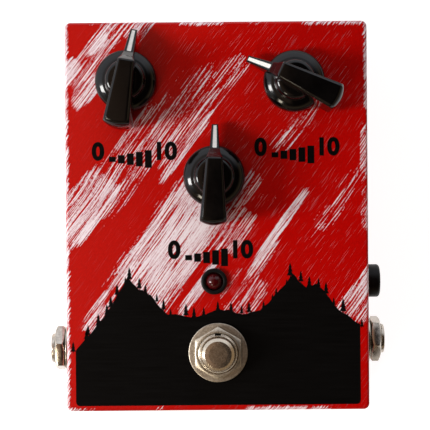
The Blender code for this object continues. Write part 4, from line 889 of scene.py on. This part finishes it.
# Footswitch: threaded bush with a keyway, washer, nut and a domed plunger
footswitch = {
    "bush": 6.0, "bore": 5.08, "rimChamfer": 0.55, "rimRounding": (0.18, 0.2),
    "threadPitch": 0.75, "ridge": 0.17, "threadFrom": 1.0, "threadGap": 0.12,
    "flange": 8.0, "flangeThickness": 1.0, "flangeRounding": 0.2,
    "keyWidth": 1.9, "keyDepth": 0.5, "washer": 9.05, "washerHole": 6.3, "washerThickness": 0.9,
    "washerRounding": 0.28, "edge": 0.1, "nutFlats": 14.0, "nutHeight": 2.5, "innerNutHeight": 2.2,
    "plunger": 5.0, "plungerTop": 4.05, "plungerFlat": 2.85, "chamferHeight": 0.8,
    "crown": 0.12, "crownShare": 0.3, "plungerRoundings": (1.0, 0.12, 0.25, 0.2),  # from the crown down
}


def makeFootswitch():
    size = footswitch
    nickel = plain["turnedNickelPlate"]
    satin = plain["satinNickelPlate"]
    centre = middleOf("footswitch_washer")
    x, y = centre.x, centre.y
    low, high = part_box("footswitch_bush")
    top = high.z / mm
    bottom = low.z / mm
    flangeTop = bottom + size["flangeThickness"]
    core = size["bush"] - size["ridge"]
    chamferFoot = top - size["rimChamfer"]
    mouth, rim = size["rimRounding"]
    bush = lathe([(size["bore"], top, mouth), (size["bush"] - size["rimChamfer"], top, rim),
                  (core, chamferFoot + size["ridge"], size["edge"]), (core, flangeTop, 0),
                  (size["flange"], flangeTop, size["flangeRounding"]),
                  (size["flange"], bottom, size["flangeRounding"]), (size["bore"], bottom, size["edge"])],
                 wideSteps)
    thread = threadMesh(core, size["threadPitch"], flangeTop + size["threadFrom"],
                        chamferFoot - size["threadGap"], size["ridge"], nickel)
    keyway = plate(size["keyWidth"], 2 * size["keyDepth"], flangeTop, top + past, 0.0, 0.0, size["bush"])
    keyed = [combine(piece, keyway.copy(), "DIFFERENCE") for piece in (bush, thread)]
    finishPiece("switchBush", placed(together(keyed), x, y), nickel, "case", "nickel", "footswitch_bush")

    washer = ringShape(size["washerHole"], size["washer"], size["washerThickness"], size["washerRounding"],
                       size["edge"], wideSteps)
    nut = softened(hexNut(size["nutFlats"], size["nutHeight"], size["bush"]), nutShape["edge"])
    inner = hexNut(size["nutFlats"], size["innerNutHeight"], size["bush"])
    for name, mesh, node in (("switchWasher", washer, "footswitch_washer"),
                             ("switchNut", nut, "footswitch_nut"),
                             ("switchInnerNut", inner, "footswitch_inner_nut")):
        finishPiece(name, placed(mesh, x, y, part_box(node)[0].z), satin, "case", "nickel", node)

    low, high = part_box("footswitch_plunger")
    top = (high.z - low.z) / mm
    crown, shoulder, waist, heel = size["plungerRoundings"]
    plunger = lathe([(0, top, 0), (size["plungerFlat"], top - size["crown"] * size["crownShare"], crown),
                     (size["plungerTop"], top - size["crown"], shoulder),
                     (size["plunger"], top - size["chamferHeight"], waist), (size["plunger"], 0, heel),
                     (0, 0, 0)], wideSteps, mediumArc)
    finishPiece("switchPlunger", placed(plunger, x, y, low.z), nickel, "footswitch_button", "nickel",
                "footswitch_plunger")


makeFootswitch()
print("footswitch made")


# Status light: a domed 5 mm lens in a black press-fit bezel
light = {"lens": 2.53, "rim": 2.9, "rimHeight": 1.0, "edge": 0.1, "domeShare": 0.98, "domeSteps": 14,
         "bezel": 4.0, "barrel": 3.45, "bezelRounding": 0.5, "lip": 2.83, "lipRounding": 0.22,
         "barrelRounding": 0.15, "clearance": 0.3}


def makeLight():
    size = light
    low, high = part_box("led_bezel")
    spot = middleOf("led_bezel")
    top = high.z / mm
    bottom = low.z / mm
    face = faceHeight / mm
    seat = face + size["clearance"]
    hollow = size["rim"] + size["clearance"]
    bezel = lathe([(size["lip"], top, size["lipRounding"]), (size["bezel"], top, size["bezelRounding"]),
                   (size["bezel"], seat, size["edge"]), (size["barrel"], seat, 0),
                   (size["barrel"], bottom, size["barrelRounding"]), (hollow, bottom, size["edge"]),
                   (hollow, face, 0), (size["lip"], face, 0)])
    finishPiece("lightBezel", placed(bezel, spot.x, spot.y), plain["grainedBlackAbs"], "case",
                "black_plastic", "led_bezel")
    low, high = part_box("led_lens")
    bottom = low.z / mm
    shelf = bottom + size["rimHeight"]
    lens = lathe([(0, high.z / mm, 0), (size["lens"], high.z / mm, size["lens"] * size["domeShare"]),
                  (size["lens"], shelf, 0), (size["rim"], shelf, size["edge"]),
                  (size["rim"], bottom, size["edge"]), (0, bottom, 0)], roundSteps, size["domeSteps"])
    finishPiece("lightLens", placed(lens, spot.x, spot.y), epoxy, "case", "dark_red_epoxy", "led_lens")


makeLight()
print("light made")


# Open-frame audio jacks, in millimetres along their own axis from the wall, and the moulded power jack
audioJack = {
    "bush": 4.75, "bore": 3.25, "rise": 5.9, "mouthRounding": 0.45, "mouthChamfer": 0.5, "boreRounding": 0.3,
    "threadPitch": 0.79, "ridge": 0.16, "threadFrom": 0.4, "threadGap": 0.1, "stemRoot": 0.4,
    "washer": 7.4, "washerHole": 5.05, "washerThickness": 0.9, "washerRounding": 0.2, "washerEdge": 0.08,
    "nutFlats": 12.7, "nutHeight": 3.1, "seat": 0.3, "nutTurns": {"left": 15.0, "right": 13.0},
    "plate": 15.4, "plateThickness": 1.2, "plateCorner": 2.0,
    "armLength": 12.0, "armWidth": 8.0, "armThickness": 0.9, "armInset": 0.3,
}
powerJack = {
    "flange": 5.2, "rise": 4.7, "rounding": 1.0, "seat": 0.3, "seatRounding": 0.15,
    "barrel": 3.9, "depth": 11.5, "barrelRounding": 0.2,
    "socket": 2.85, "socketDepth": 10.0, "socketChamfer": 0.35, "socketRounding": 0.2,
    "pin": 1.05, "pinRoundShare": 0.7, "terminal": 4.0, "terminalWidth": 2.0, "terminalThickness": 0.6,
    "terminalSpacing": 2.2, "terminalRoot": 0.6,
}


def sideTurn(side):
    # The turn that points an upright piece out of the right or left wall, its +Y upwards
    return Matrix.Rotation(side * math.pi / 2, 4, "Z") @ Matrix.Rotation(math.pi / 2, 4, "X")


def makeAudioJack(name, side):
    size = audioJack
    nickel = plain["polishedNickelPlate"]
    low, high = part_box(f"jack_washer_{name}")
    y, z = (low.y + high.y) / 2, (low.z + high.z) / 2
    wall = side * (min(abs(low.x), abs(high.x)) - size["seat"] * mm)
    turn = sideTurn(side)
    low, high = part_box(f"jack_frame_{name}")
    armEnd = -(abs(wall) - min(abs(low.x), abs(high.x))) / mm
    plateLow = armEnd + size["armLength"]
    core = size["bush"] - size["ridge"]
    rise = size["rise"]
    body = plate(size["plate"], size["plate"], plateLow, plateLow + size["plateThickness"],
                 size["plateCorner"])
    arm = plate(size["armWidth"], size["armThickness"], armEnd, plateLow + size["plateThickness"] / 2, 0.0,
                0.0, size["plate"] / 2 - size["armThickness"] / 2 - size["armInset"])
    stemLow = plateLow + size["stemRoot"]
    stem = lathe([(0, rise, 0), (core, rise, size["mouthRounding"]), (core, stemLow, 0), (0, stemLow, 0)])
    mouth = size["bore"] + size["mouthChamfer"]
    bore = lathe([(0, rise + past, 0), (mouth, rise + past, 0), (mouth, rise, 0),
                  (size["bore"], rise - size["mouthChamfer"], size["boreRounding"]),
                  (size["bore"], armEnd - past, 0), (0, armEnd - past, 0)])
    for tool, operation in ((arm, "UNION"), (stem, "UNION"), (bore, "DIFFERENCE")):
        body = combine(body, tool, operation)
    thread = threadMesh(core, size["threadPitch"], size["threadFrom"],
                        rise - size["mouthRounding"] - size["threadGap"], size["ridge"], nickel)
    washer = ringShape(size["washerHole"], size["washer"], size["washerThickness"], size["washerRounding"],
                       size["washerEdge"])
    washer = placed(washer, z=size["seat"] * mm)
    nut = softened(hexNut(size["nutFlats"], size["nutHeight"], size["bush"]), nutShape["edge"])
    nut = placed(nut, z=(2 * size["seat"] + size["washerThickness"]) * mm,
                 turn=Matrix.Rotation(math.radians(size["nutTurns"][name]), 4, "Z"))
    for label, mesh, node in (("jackFrame", together([body, thread]), "jack_frame"),
                              ("jackWasher", washer, "jack_washer"), ("jackNut", nut, "jack_nut")):
        finishPiece(f"{label}_{name}", placed(mesh, wall, y, z, turn), nickel, "case", "nickel",
                    f"{node}_{name}")


def makePowerJack():
    size = powerJack
    low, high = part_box("power_jack_body")
    y, z = (low.y + high.y) / 2, (low.z + high.z) / 2
    wall = high.x - size["rise"] * mm
    turn = sideTurn(1)
    rise, depth = size["rise"], size["depth"]
    body = lathe([(0, rise, 0), (size["flange"], rise, size["rounding"]),
                  (size["flange"], size["seat"], size["seatRounding"]), (size["barrel"], size["seat"], 0),
                  (size["barrel"], -depth, size["barrelRounding"]), (0, -depth, 0)], roundSteps, fineArc)
    mouth = size["socket"] + size["socketChamfer"]
    floor = rise - size["socketDepth"]
    socket = lathe([(0, rise + past, 0), (mouth, rise + past, 0), (mouth, rise, 0),
                    (size["socket"], rise - size["socketChamfer"], size["socketRounding"]),
                    (size["socket"], floor, 0), (0, floor, 0)])
    body = combine(body, socket, "DIFFERENCE")
    for side in (-1, 1):
        blade = plate(size["terminalWidth"], size["terminalThickness"], -depth - size["terminal"],
                      -depth + size["terminalRoot"], 0.0, 0.0, side * size["terminalSpacing"])
        body = combine(body, blade, "UNION")
    finishPiece("powerJackBody", placed(body, wall, y, z, turn), plain["grainedBlackAbs"], "case",
                "black_plastic", "power_jack_body")
    low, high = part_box("power_jack_pin")
    long = (high.x - low.x) / mm
    pin = lathe([(0, long, 0), (size["pin"], long, size["pin"] * size["pinRoundShare"]), (size["pin"], 0, 0),
                 (0, 0, 0)], screwSteps, fineArc)
    finishPiece("powerJackPin", placed(pin, low.x, y, z, turn), plain["polishedNickelPlate"], "case",
                "nickel", "power_jack_pin")


makeAudioJack("left", -1)
makeAudioJack("right", 1)
makePowerJack()
print("jacks made")


# Hand-painted print on the face: a plain mountain ridge, fir trees on it, and dial scales.
# A layer of print is set a little into what carries it.
printing = {"thickness": 0.04, "sunk": 0.02, "firStep": 0.01}
ridge = {
    "points": [(-43.6, -41.0), (-38.0, -34.5), (-32.5, -27.0), (-27.5, -18.6), (-24.0, -22.5), (-20.5, -24.0),
               (-15.5, -30.0), (-8.0, -31.0), (0.0, -28.6), (7.5, -30.2), (13.0, -29.0), (18.5, -23.4),
               (23.0, -17.8), (27.0, -22.0), (30.5, -21.0), (37.0, -29.0), (43.6, -33.5)],
    "bottom": -57.9, "corner": 1.2, "rag": 0.55, "ragFade": 1.8, "splits": 3, "seed": 11,
}
firs = {
    "count": 34, "height": 4.2, "width": 1.9, "seed": 5,
    # how far each strays from its place on the ridge, in millimetres, and how much it has grown
    "strayFrom": (-1.1, -1.3), "strayTo": (1.1, -0.4), "growth": (0.55, 1.15),
    # half an outline one unit high and one wide: three tiers of branches on a short trunk
    "half": [(0.06, 0.0), (0.06, 0.14), (0.50, 0.14), (0.22, 0.40), (0.38, 0.40), (0.15, 0.66), (0.25, 0.66)],
}


def raggedRidge():
    chance = random.Random(ridge["seed"])
    line = list(ridge["points"])
    rag = ridge["rag"]
    for _ in range(ridge["splits"]):
        finer = [line[0]]
        for (x0, y0), (x1, y1) in zip(line, line[1:]):
            finer.append(((x0 + x1) / 2 + chance.uniform(-rag, rag) / 2,
                          (y0 + y1) / 2 + chance.uniform(-rag, rag)))
            finer.append((x1, y1))
        line = finer
        rag /= ridge["ragFade"]
    return line


def firTree():
    tree, sizes = startGeometryTree("firRow", {
        "Count": 20, "Height": 3.0 * mm, "Width": 1.5 * mm, "Seed": 1, "Ridge": None, "Fir": None})
    ground = addNode(tree, "GeometryNodeObjectInfo", {"Object": sizes["Ridge"]})
    fir = addNode(tree, "GeometryNodeObjectInfo", {"Object": sizes["Fir"]})
    path = addNode(tree, "GeometryNodeMeshToCurve", {"Mesh": ground.outputs["Geometry"]})
    spots = addNode(tree, "GeometryNodeResampleCurve", {"Curve": path, "Count": sizes["Count"]})
    (leftMost, lowest), (rightMost, highest) = firs["strayFrom"], firs["strayTo"]
    stray = addNode(tree, "FunctionNodeRandomValue", {
        0: (leftMost * mm, lowest * mm, 0.0), 1: (rightMost * mm, highest * mm, 0.0), "Seed": sizes["Seed"]},
        data_type="FLOAT_VECTOR")
    moved = addNode(tree, "GeometryNodeSetPosition", {"Geometry": spots, "Offset": stray})
    least, most = firs["growth"]
    growth = addNode(tree, "FunctionNodeRandomValue", {2: least, 3: most, "Seed": sizes["Seed"]},
                     data_type="FLOAT")
    full = addNode(tree, "ShaderNodeCombineXYZ", {"X": sizes["Width"], "Y": sizes["Height"]})
    scaled = addNode(tree, "ShaderNodeVectorMath", {0: full, 1: growth, 2: (0.0, 0.0, 1.0)},
                     operation="MULTIPLY_ADD")
    row = addNode(tree, "GeometryNodeInstanceOnPoints", {
        "Points": moved, "Instance": fir.outputs["Geometry"], "Scale": scaled})
    return endGeometryTree(tree, sizes, row)


def makeRidge():
    line = raggedRidge()
    low = faceHeight / mm - printing["sunk"]
    high = faceHeight / mm + printing["thickness"]
    (leftX, leftY), (rightX, rightY) = line[0], line[-1]
    corners = [(rightX, rightY, 0), (rightX, ridge["bottom"], ridge["corner"]),
               (leftX, ridge["bottom"], ridge["corner"]), (leftX, leftY, 0)]
    mountains = slab(line + arcCorners(corners, coarseArc)[1:-1], low, high)

    unit = 1 / mm  # the fir's outline is one metre high until the tree scales it
    half = [(x * unit, y * unit) for x, y in firs["half"]]
    outline = [(-x, y) for x, y in half] + [(0.0, unit)] + half[::-1]
    fir = holderOf(slab(outline, low, high - printing["firStep"]))
    path = bpy.data.meshes.new("path")
    path.from_pydata([(x * mm, y * mm, 0.0) for x, y in line], [(i, i + 1) for i in range(len(line) - 1)], [])
    path = holderOf(path)
    forest = runTree(firTree(),
                     {"Count": firs["count"], "Height": firs["height"] * mm, "Width": firs["width"] * mm,
                      "Seed": firs["seed"], "Ridge": path, "Fir": fir, "Finish": blackPaint})
    for holder in (fir, path):
        bpy.data.objects.remove(holder)
    finishPiece("ridgePrint", together([mountains, forest]), blackPaint, "case", "red_enamel")


# Dial scales: 0, a row of growing bars, 10
scaleMarks = {
    "places": {"time": (-26.4, 20.3), "level": (23.4, 21.3), "repeats": (-3.3, -10.0)},
    "bars": 5, "barWidth": 2.1, "barStep": 2.75, "shortest": 1.6, "tallest": 5.4, "barEdge": 0.004,
    # the figures, each where it stands, and the share of the type's size that a figure fills
    "figures": {"0": -9.9, "10": 10.6}, "figureHeight": 5.2, "figureShare": 0.72, "figureBoldness": 0.34,
}


def barTree():
    tree, sizes = startGeometryTree("growingBars", {
        "Bars": 5, "Step": 2.5 * mm, "Width": 1.5 * mm, "Shortest": 1 * mm, "Tallest": 5 * mm,
        "Thickness": 0.05 * mm})
    step = addNode(tree, "ShaderNodeCombineXYZ", {"X": sizes["Step"]})
    row = addNode(tree, "GeometryNodeMeshLine", {"Count": sizes["Bars"], "Offset": step})
    index = addNode(tree, "GeometryNodeInputIndex")
    last = addNode(tree, "ShaderNodeMath", {0: sizes["Bars"], 1: 1.0}, operation="SUBTRACT")
    share = addNode(tree, "ShaderNodeMath", {0: index, 1: last}, operation="DIVIDE")
    tall = addNode(tree, "ShaderNodeMapRange", {
        "Value": share, "To Min": sizes["Shortest"], "To Max": sizes["Tallest"]})
    cube = addNode(tree, "GeometryNodeMeshCube", {"Size": (1.0, 1.0, 1.0)})
    size = addNode(tree, "ShaderNodeCombineXYZ", {"X": sizes["Width"], "Y": tall, "Z": sizes["Thickness"]})
    bars = addNode(tree, "GeometryNodeInstanceOnPoints", {"Points": row, "Instance": cube, "Scale": size})
    half = addNode(tree, "ShaderNodeMath", {0: tall, 1: 0.5}, operation="MULTIPLY")
    lift = addNode(tree, "ShaderNodeCombineXYZ", {"Y": half})
    stood = addNode(tree, "GeometryNodeTranslateInstances", {"Instances": bars, "Translation": lift})
    return endGeometryTree(tree, sizes, stood)


def figureMesh(text):
    curve = bpy.data.curves.new("figure", "FONT")
    curve.body = text
    curve.size = scaleMarks["figureHeight"] * mm / scaleMarks["figureShare"]
    curve.align_x = "CENTER"
    curve.align_y = "BOTTOM_BASELINE"
    curve.offset = scaleMarks["figureBoldness"] * mm
    curve.extrude = (printing["thickness"] / 2) * mm
    curve.resolution_u = 8
    return evaluated(holderOf(curve))


def makeScales():
    size = scaleMarks
    thickness = printing["thickness"] * mm
    bars = runTree(barTree(),
                   {"Bars": size["bars"], "Step": size["barStep"] * mm, "Width": size["barWidth"] * mm,
                    "Shortest": size["shortest"] * mm, "Tallest": size["tallest"] * mm,
                    "Thickness": thickness, "Finish": blackPaint})
    bars = placed(bars, x=-size["barStep"] * (size["bars"] - 1) / 2 * mm)
    figures = [placed(figureMesh(text), x=x * mm) for text, x in size["figures"].items()]
    marks = together([softened(bars, size["barEdge"], 1)] + figures)
    level = faceHeight + (printing["thickness"] - printing["sunk"]) / 2 * mm
    for name, (x, y) in size["places"].items():
        mesh = placed(marks.copy(), x * mm, (y - size["tallest"] / 2) * mm, level)
        finishPiece(f"scalePrint_{name}", mesh, blackPaint, "case", "red_enamel")


makeRidge()
makeScales()
print("print made")


# The nodes that stay: each gets its real finish
slotFinishes = {
    "zinc_steel": "zincPlatedSteel", "nickel": "polishedNickelPlate", "brass": "turnedBrass",
    "black_phenolic": "mouldedBlackPhenolic", "black_plastic": "grainedBlackAbs",
    "blue_plastic": "mouldedBlueNylon", "brown_laminate": "brownPhenolicLaminate",
    "green_laminate": "greenMaskedLaminate", "rubber": "mouldedRubber",
    "wire_red": "extrudedRedPvc", "wire_white": "extrudedWhitePvc",
}
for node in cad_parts.values():
    if not node.hide_render:
        node.data.materials[0] = plain[slotFinishes[node.data.materials[0].name.split(".")[0]]]
print("remaining nodes dressed")


# Camera, light and floor, in millimetres. The camera looks straight down, a little off the middle and
# turned by a hair; at spanHeight over the floor it sees span millimetres across.
studio = {
    "viewHeight": 467.0, "span": 131.7, "spanHeight": 37.0, "aim": (-0.61, 0.31), "roll": -0.46,
    "sensor": 36.0, "nearest": 10.0, "floorSize": 4000.0, "floorTop": -0.02, "floorThickness": 1.98,
    "floorColours": ("#A19F9D", "#A9A8A6"), "floorGrain": 3.0,
    "floorGlow": 0.92, "rimGlow": 0.38, "glowFrom": 76.0, "glowTo": 190.0, "panelCorner": 20.0,
}
lamps = {
    # place, size across and along, power, colour; all aim at the box
    "windowLeft": ((-760.0, -130.0, 560.0), (200.0, 330.0), 6.6, "#FFFDFA"),
    "windowRight": ((-420.0, -600.0, 560.0), (140.0, 240.0), 1.6, "#FFF4DC"),
}
# The room: bright walls to the back and left, dark ones to the front and right, and a dark ceiling,
# which is what the flat face mirrors
room = {
    "strength": 1.2, "brightWalls": "#F2F6FF",
    "towards": (-0.50, 0.86, 0.0), "turnFrom": -0.25, "turnTo": 0.45,
    # the dark side, from its foot up: a dim foot, warm furniture, dim walls
    "darkSide": [(0.0, "#2A241F"), (0.10, "#3A3129"), (0.20, "#A58F72"), (0.36, "#A08A6E"),
                 (0.56, "#1A1614")],
    # the ceiling is brown to the left and all but black to the right
    "wallsEnd": 0.62, "ceilingStart": 0.88, "ceilingLeft": "#9A7E68", "ceilingRight": "#221C18",
    "ceilingFrom": -0.10, "ceilingTo": 0.0,
}


def addToScene(name, data, place, turn):
    holder = bpy.data.objects.new(name, data)
    holder.location = place
    holder.rotation_euler = turn
    bpy.context.scene.collection.objects.link(holder)
    return holder


def makeCameraAndLamps():
    size = studio
    camera = bpy.data.cameras.new("camera")
    camera.sensor_width = size["sensor"]
    camera.sensor_fit = "HORIZONTAL"
    camera.lens = size["sensor"] * (size["viewHeight"] - size["spanHeight"]) / size["span"]
    camera.clip_start = size["nearest"] * mm
    place = Vector((*size["aim"], size["viewHeight"])) * mm
    bpy.context.scene.camera = addToScene("camera", camera, place, (0.0, 0.0, math.radians(size["roll"])))
    for name, (spot, (across, lengthwise), power, colour) in lamps.items():
        lamp = bpy.data.lights.new(name, "AREA")
        lamp.shape = "RECTANGLE"
        lamp.size = across * mm
        lamp.size_y = lengthwise * mm
        lamp.energy = power
        lamp.color = linearColour(colour)[:3]
        place = Vector(spot) * mm
        aim = Vector((0.0, 0.0, faceHeight)) - place
        addToScene(name, lamp, place, aim.to_track_quat("-Z", "Y").to_euler())


def makeRoom():
    world = bpy.data.worlds.new("softRoom")
    world.use_nodes = True
    tree = world.node_tree
    coords = addNode(tree, "ShaderNodeTexCoord").outputs["Generated"]
    heading = addNode(tree, "ShaderNodeSeparateXYZ", {0: coords}).outputs
    level = addNode(tree, "ShaderNodeVectorMath", {0: coords, 1: (1.0, 1.0, 0.0)}, operation="MULTIPLY")
    level = addNode(tree, "ShaderNodeVectorMath", {0: level}, operation="NORMALIZE")
    facing = addNode(tree, "ShaderNodeVectorMath", {0: level, 1: room["towards"]}, operation="DOT_PRODUCT")
    side = addNode(tree, "ShaderNodeMapRange", {
        "Value": facing, "From Min": room["turnFrom"], "From Max": room["turnTo"]},
        interpolation_type="SMOOTHSTEP")
    dark = addNode(tree, "ShaderNodeValToRGB", {0: heading["Z"]})
    stops = dark.color_ramp.elements
    for stop, (place, colour) in zip(stops, (room["darkSide"][0], room["darkSide"][-1])):
        stop.position = place
        stop.color = linearColour(colour)
    for place, colour in room["darkSide"][1:-1]:
        stops.new(place).color = linearColour(colour)
    walls = addNode(tree, "ShaderNodeMix", {0: side, 6: dark, 7: linearColour(room["brightWalls"])},
                    data_type="RGBA")
    height = addNode(tree, "ShaderNodeMapRange", {
        "Value": heading["Z"], "From Min": room["wallsEnd"], "From Max": room["ceilingStart"]},
        interpolation_type="SMOOTHSTEP")
    across = addNode(tree, "ShaderNodeMapRange", {
        "Value": heading["X"], "From Min": room["ceilingFrom"], "From Max": room["ceilingTo"]},
        interpolation_type="SMOOTHSTEP")
    ceiling = addNode(tree, "ShaderNodeMix", {
        0: across, 6: linearColour(room["ceilingLeft"]), 7: linearColour(room["ceilingRight"])},
        data_type="RGBA")
    glow = addNode(tree, "ShaderNodeMix", {0: height, 6: walls, 7: ceiling}, data_type="RGBA")
    feed(tree, tree.nodes["Background"], {"Color": glow, "Strength": room["strength"]})
    bpy.context.scene.world = world


def makeFloor():
    # An opal light table: it glows white round the box, so that nothing shades it to grey, and is pale beyond
    size = studio
    opal, tree, shader = startMaterial("opalLightTable", {
        "Roughness": 0.75, "Specular IOR Level": 0.2, "Emission Color": linearColour("#FFFFFF")})
    coords = addNode(tree, "ShaderNodeTexCoord").outputs["Object"]
    fibre = addNode(tree, "ShaderNodeTexNoise", {
        "Vector": coords, "Scale": 1 / (size["floorGrain"] * mm), "Detail": 4.0})
    dark, light = size["floorColours"]
    colour = addNode(tree, "ShaderNodeMix", {0: fibre, 6: linearColour(dark), 7: linearColour(light)},
                     data_type="RGBA")
    spot = addNode(tree, "ShaderNodeVectorMath", {0: coords}, operation="ABSOLUTE")
    spot = addNode(tree, "ShaderNodeSeparateXYZ", {0: spot}).outputs
    away = addNode(tree, "ShaderNodeMath", {0: spot["X"], 1: spot["Y"], 2: size["panelCorner"] * mm},
                   operation="SMOOTH_MAX")
    lit = addNode(tree, "ShaderNodeMapRange", {
        "Value": away, "From Min": size["glowFrom"] * mm, "From Max": size["glowTo"] * mm,
        "To Min": size["floorGlow"], "To Max": size["rimGlow"]}, interpolation_type="SMOOTHSTEP")
    feed(tree, shader, {"Base Color": colour, "Emission Strength": lit})
    bottom = size["floorTop"] - size["floorThickness"]
    table = plate(size["floorSize"], size["floorSize"], bottom, size["floorTop"])
    table.materials.append(opal)
    addToScene("floor", table, (0.0, 0.0, 0.0), (0.0, 0.0, 0.0))


makeCameraAndLamps()
makeRoom()
makeFloor()
bpy.context.scene.view_settings.view_transform = "Standard"
print("studio made")
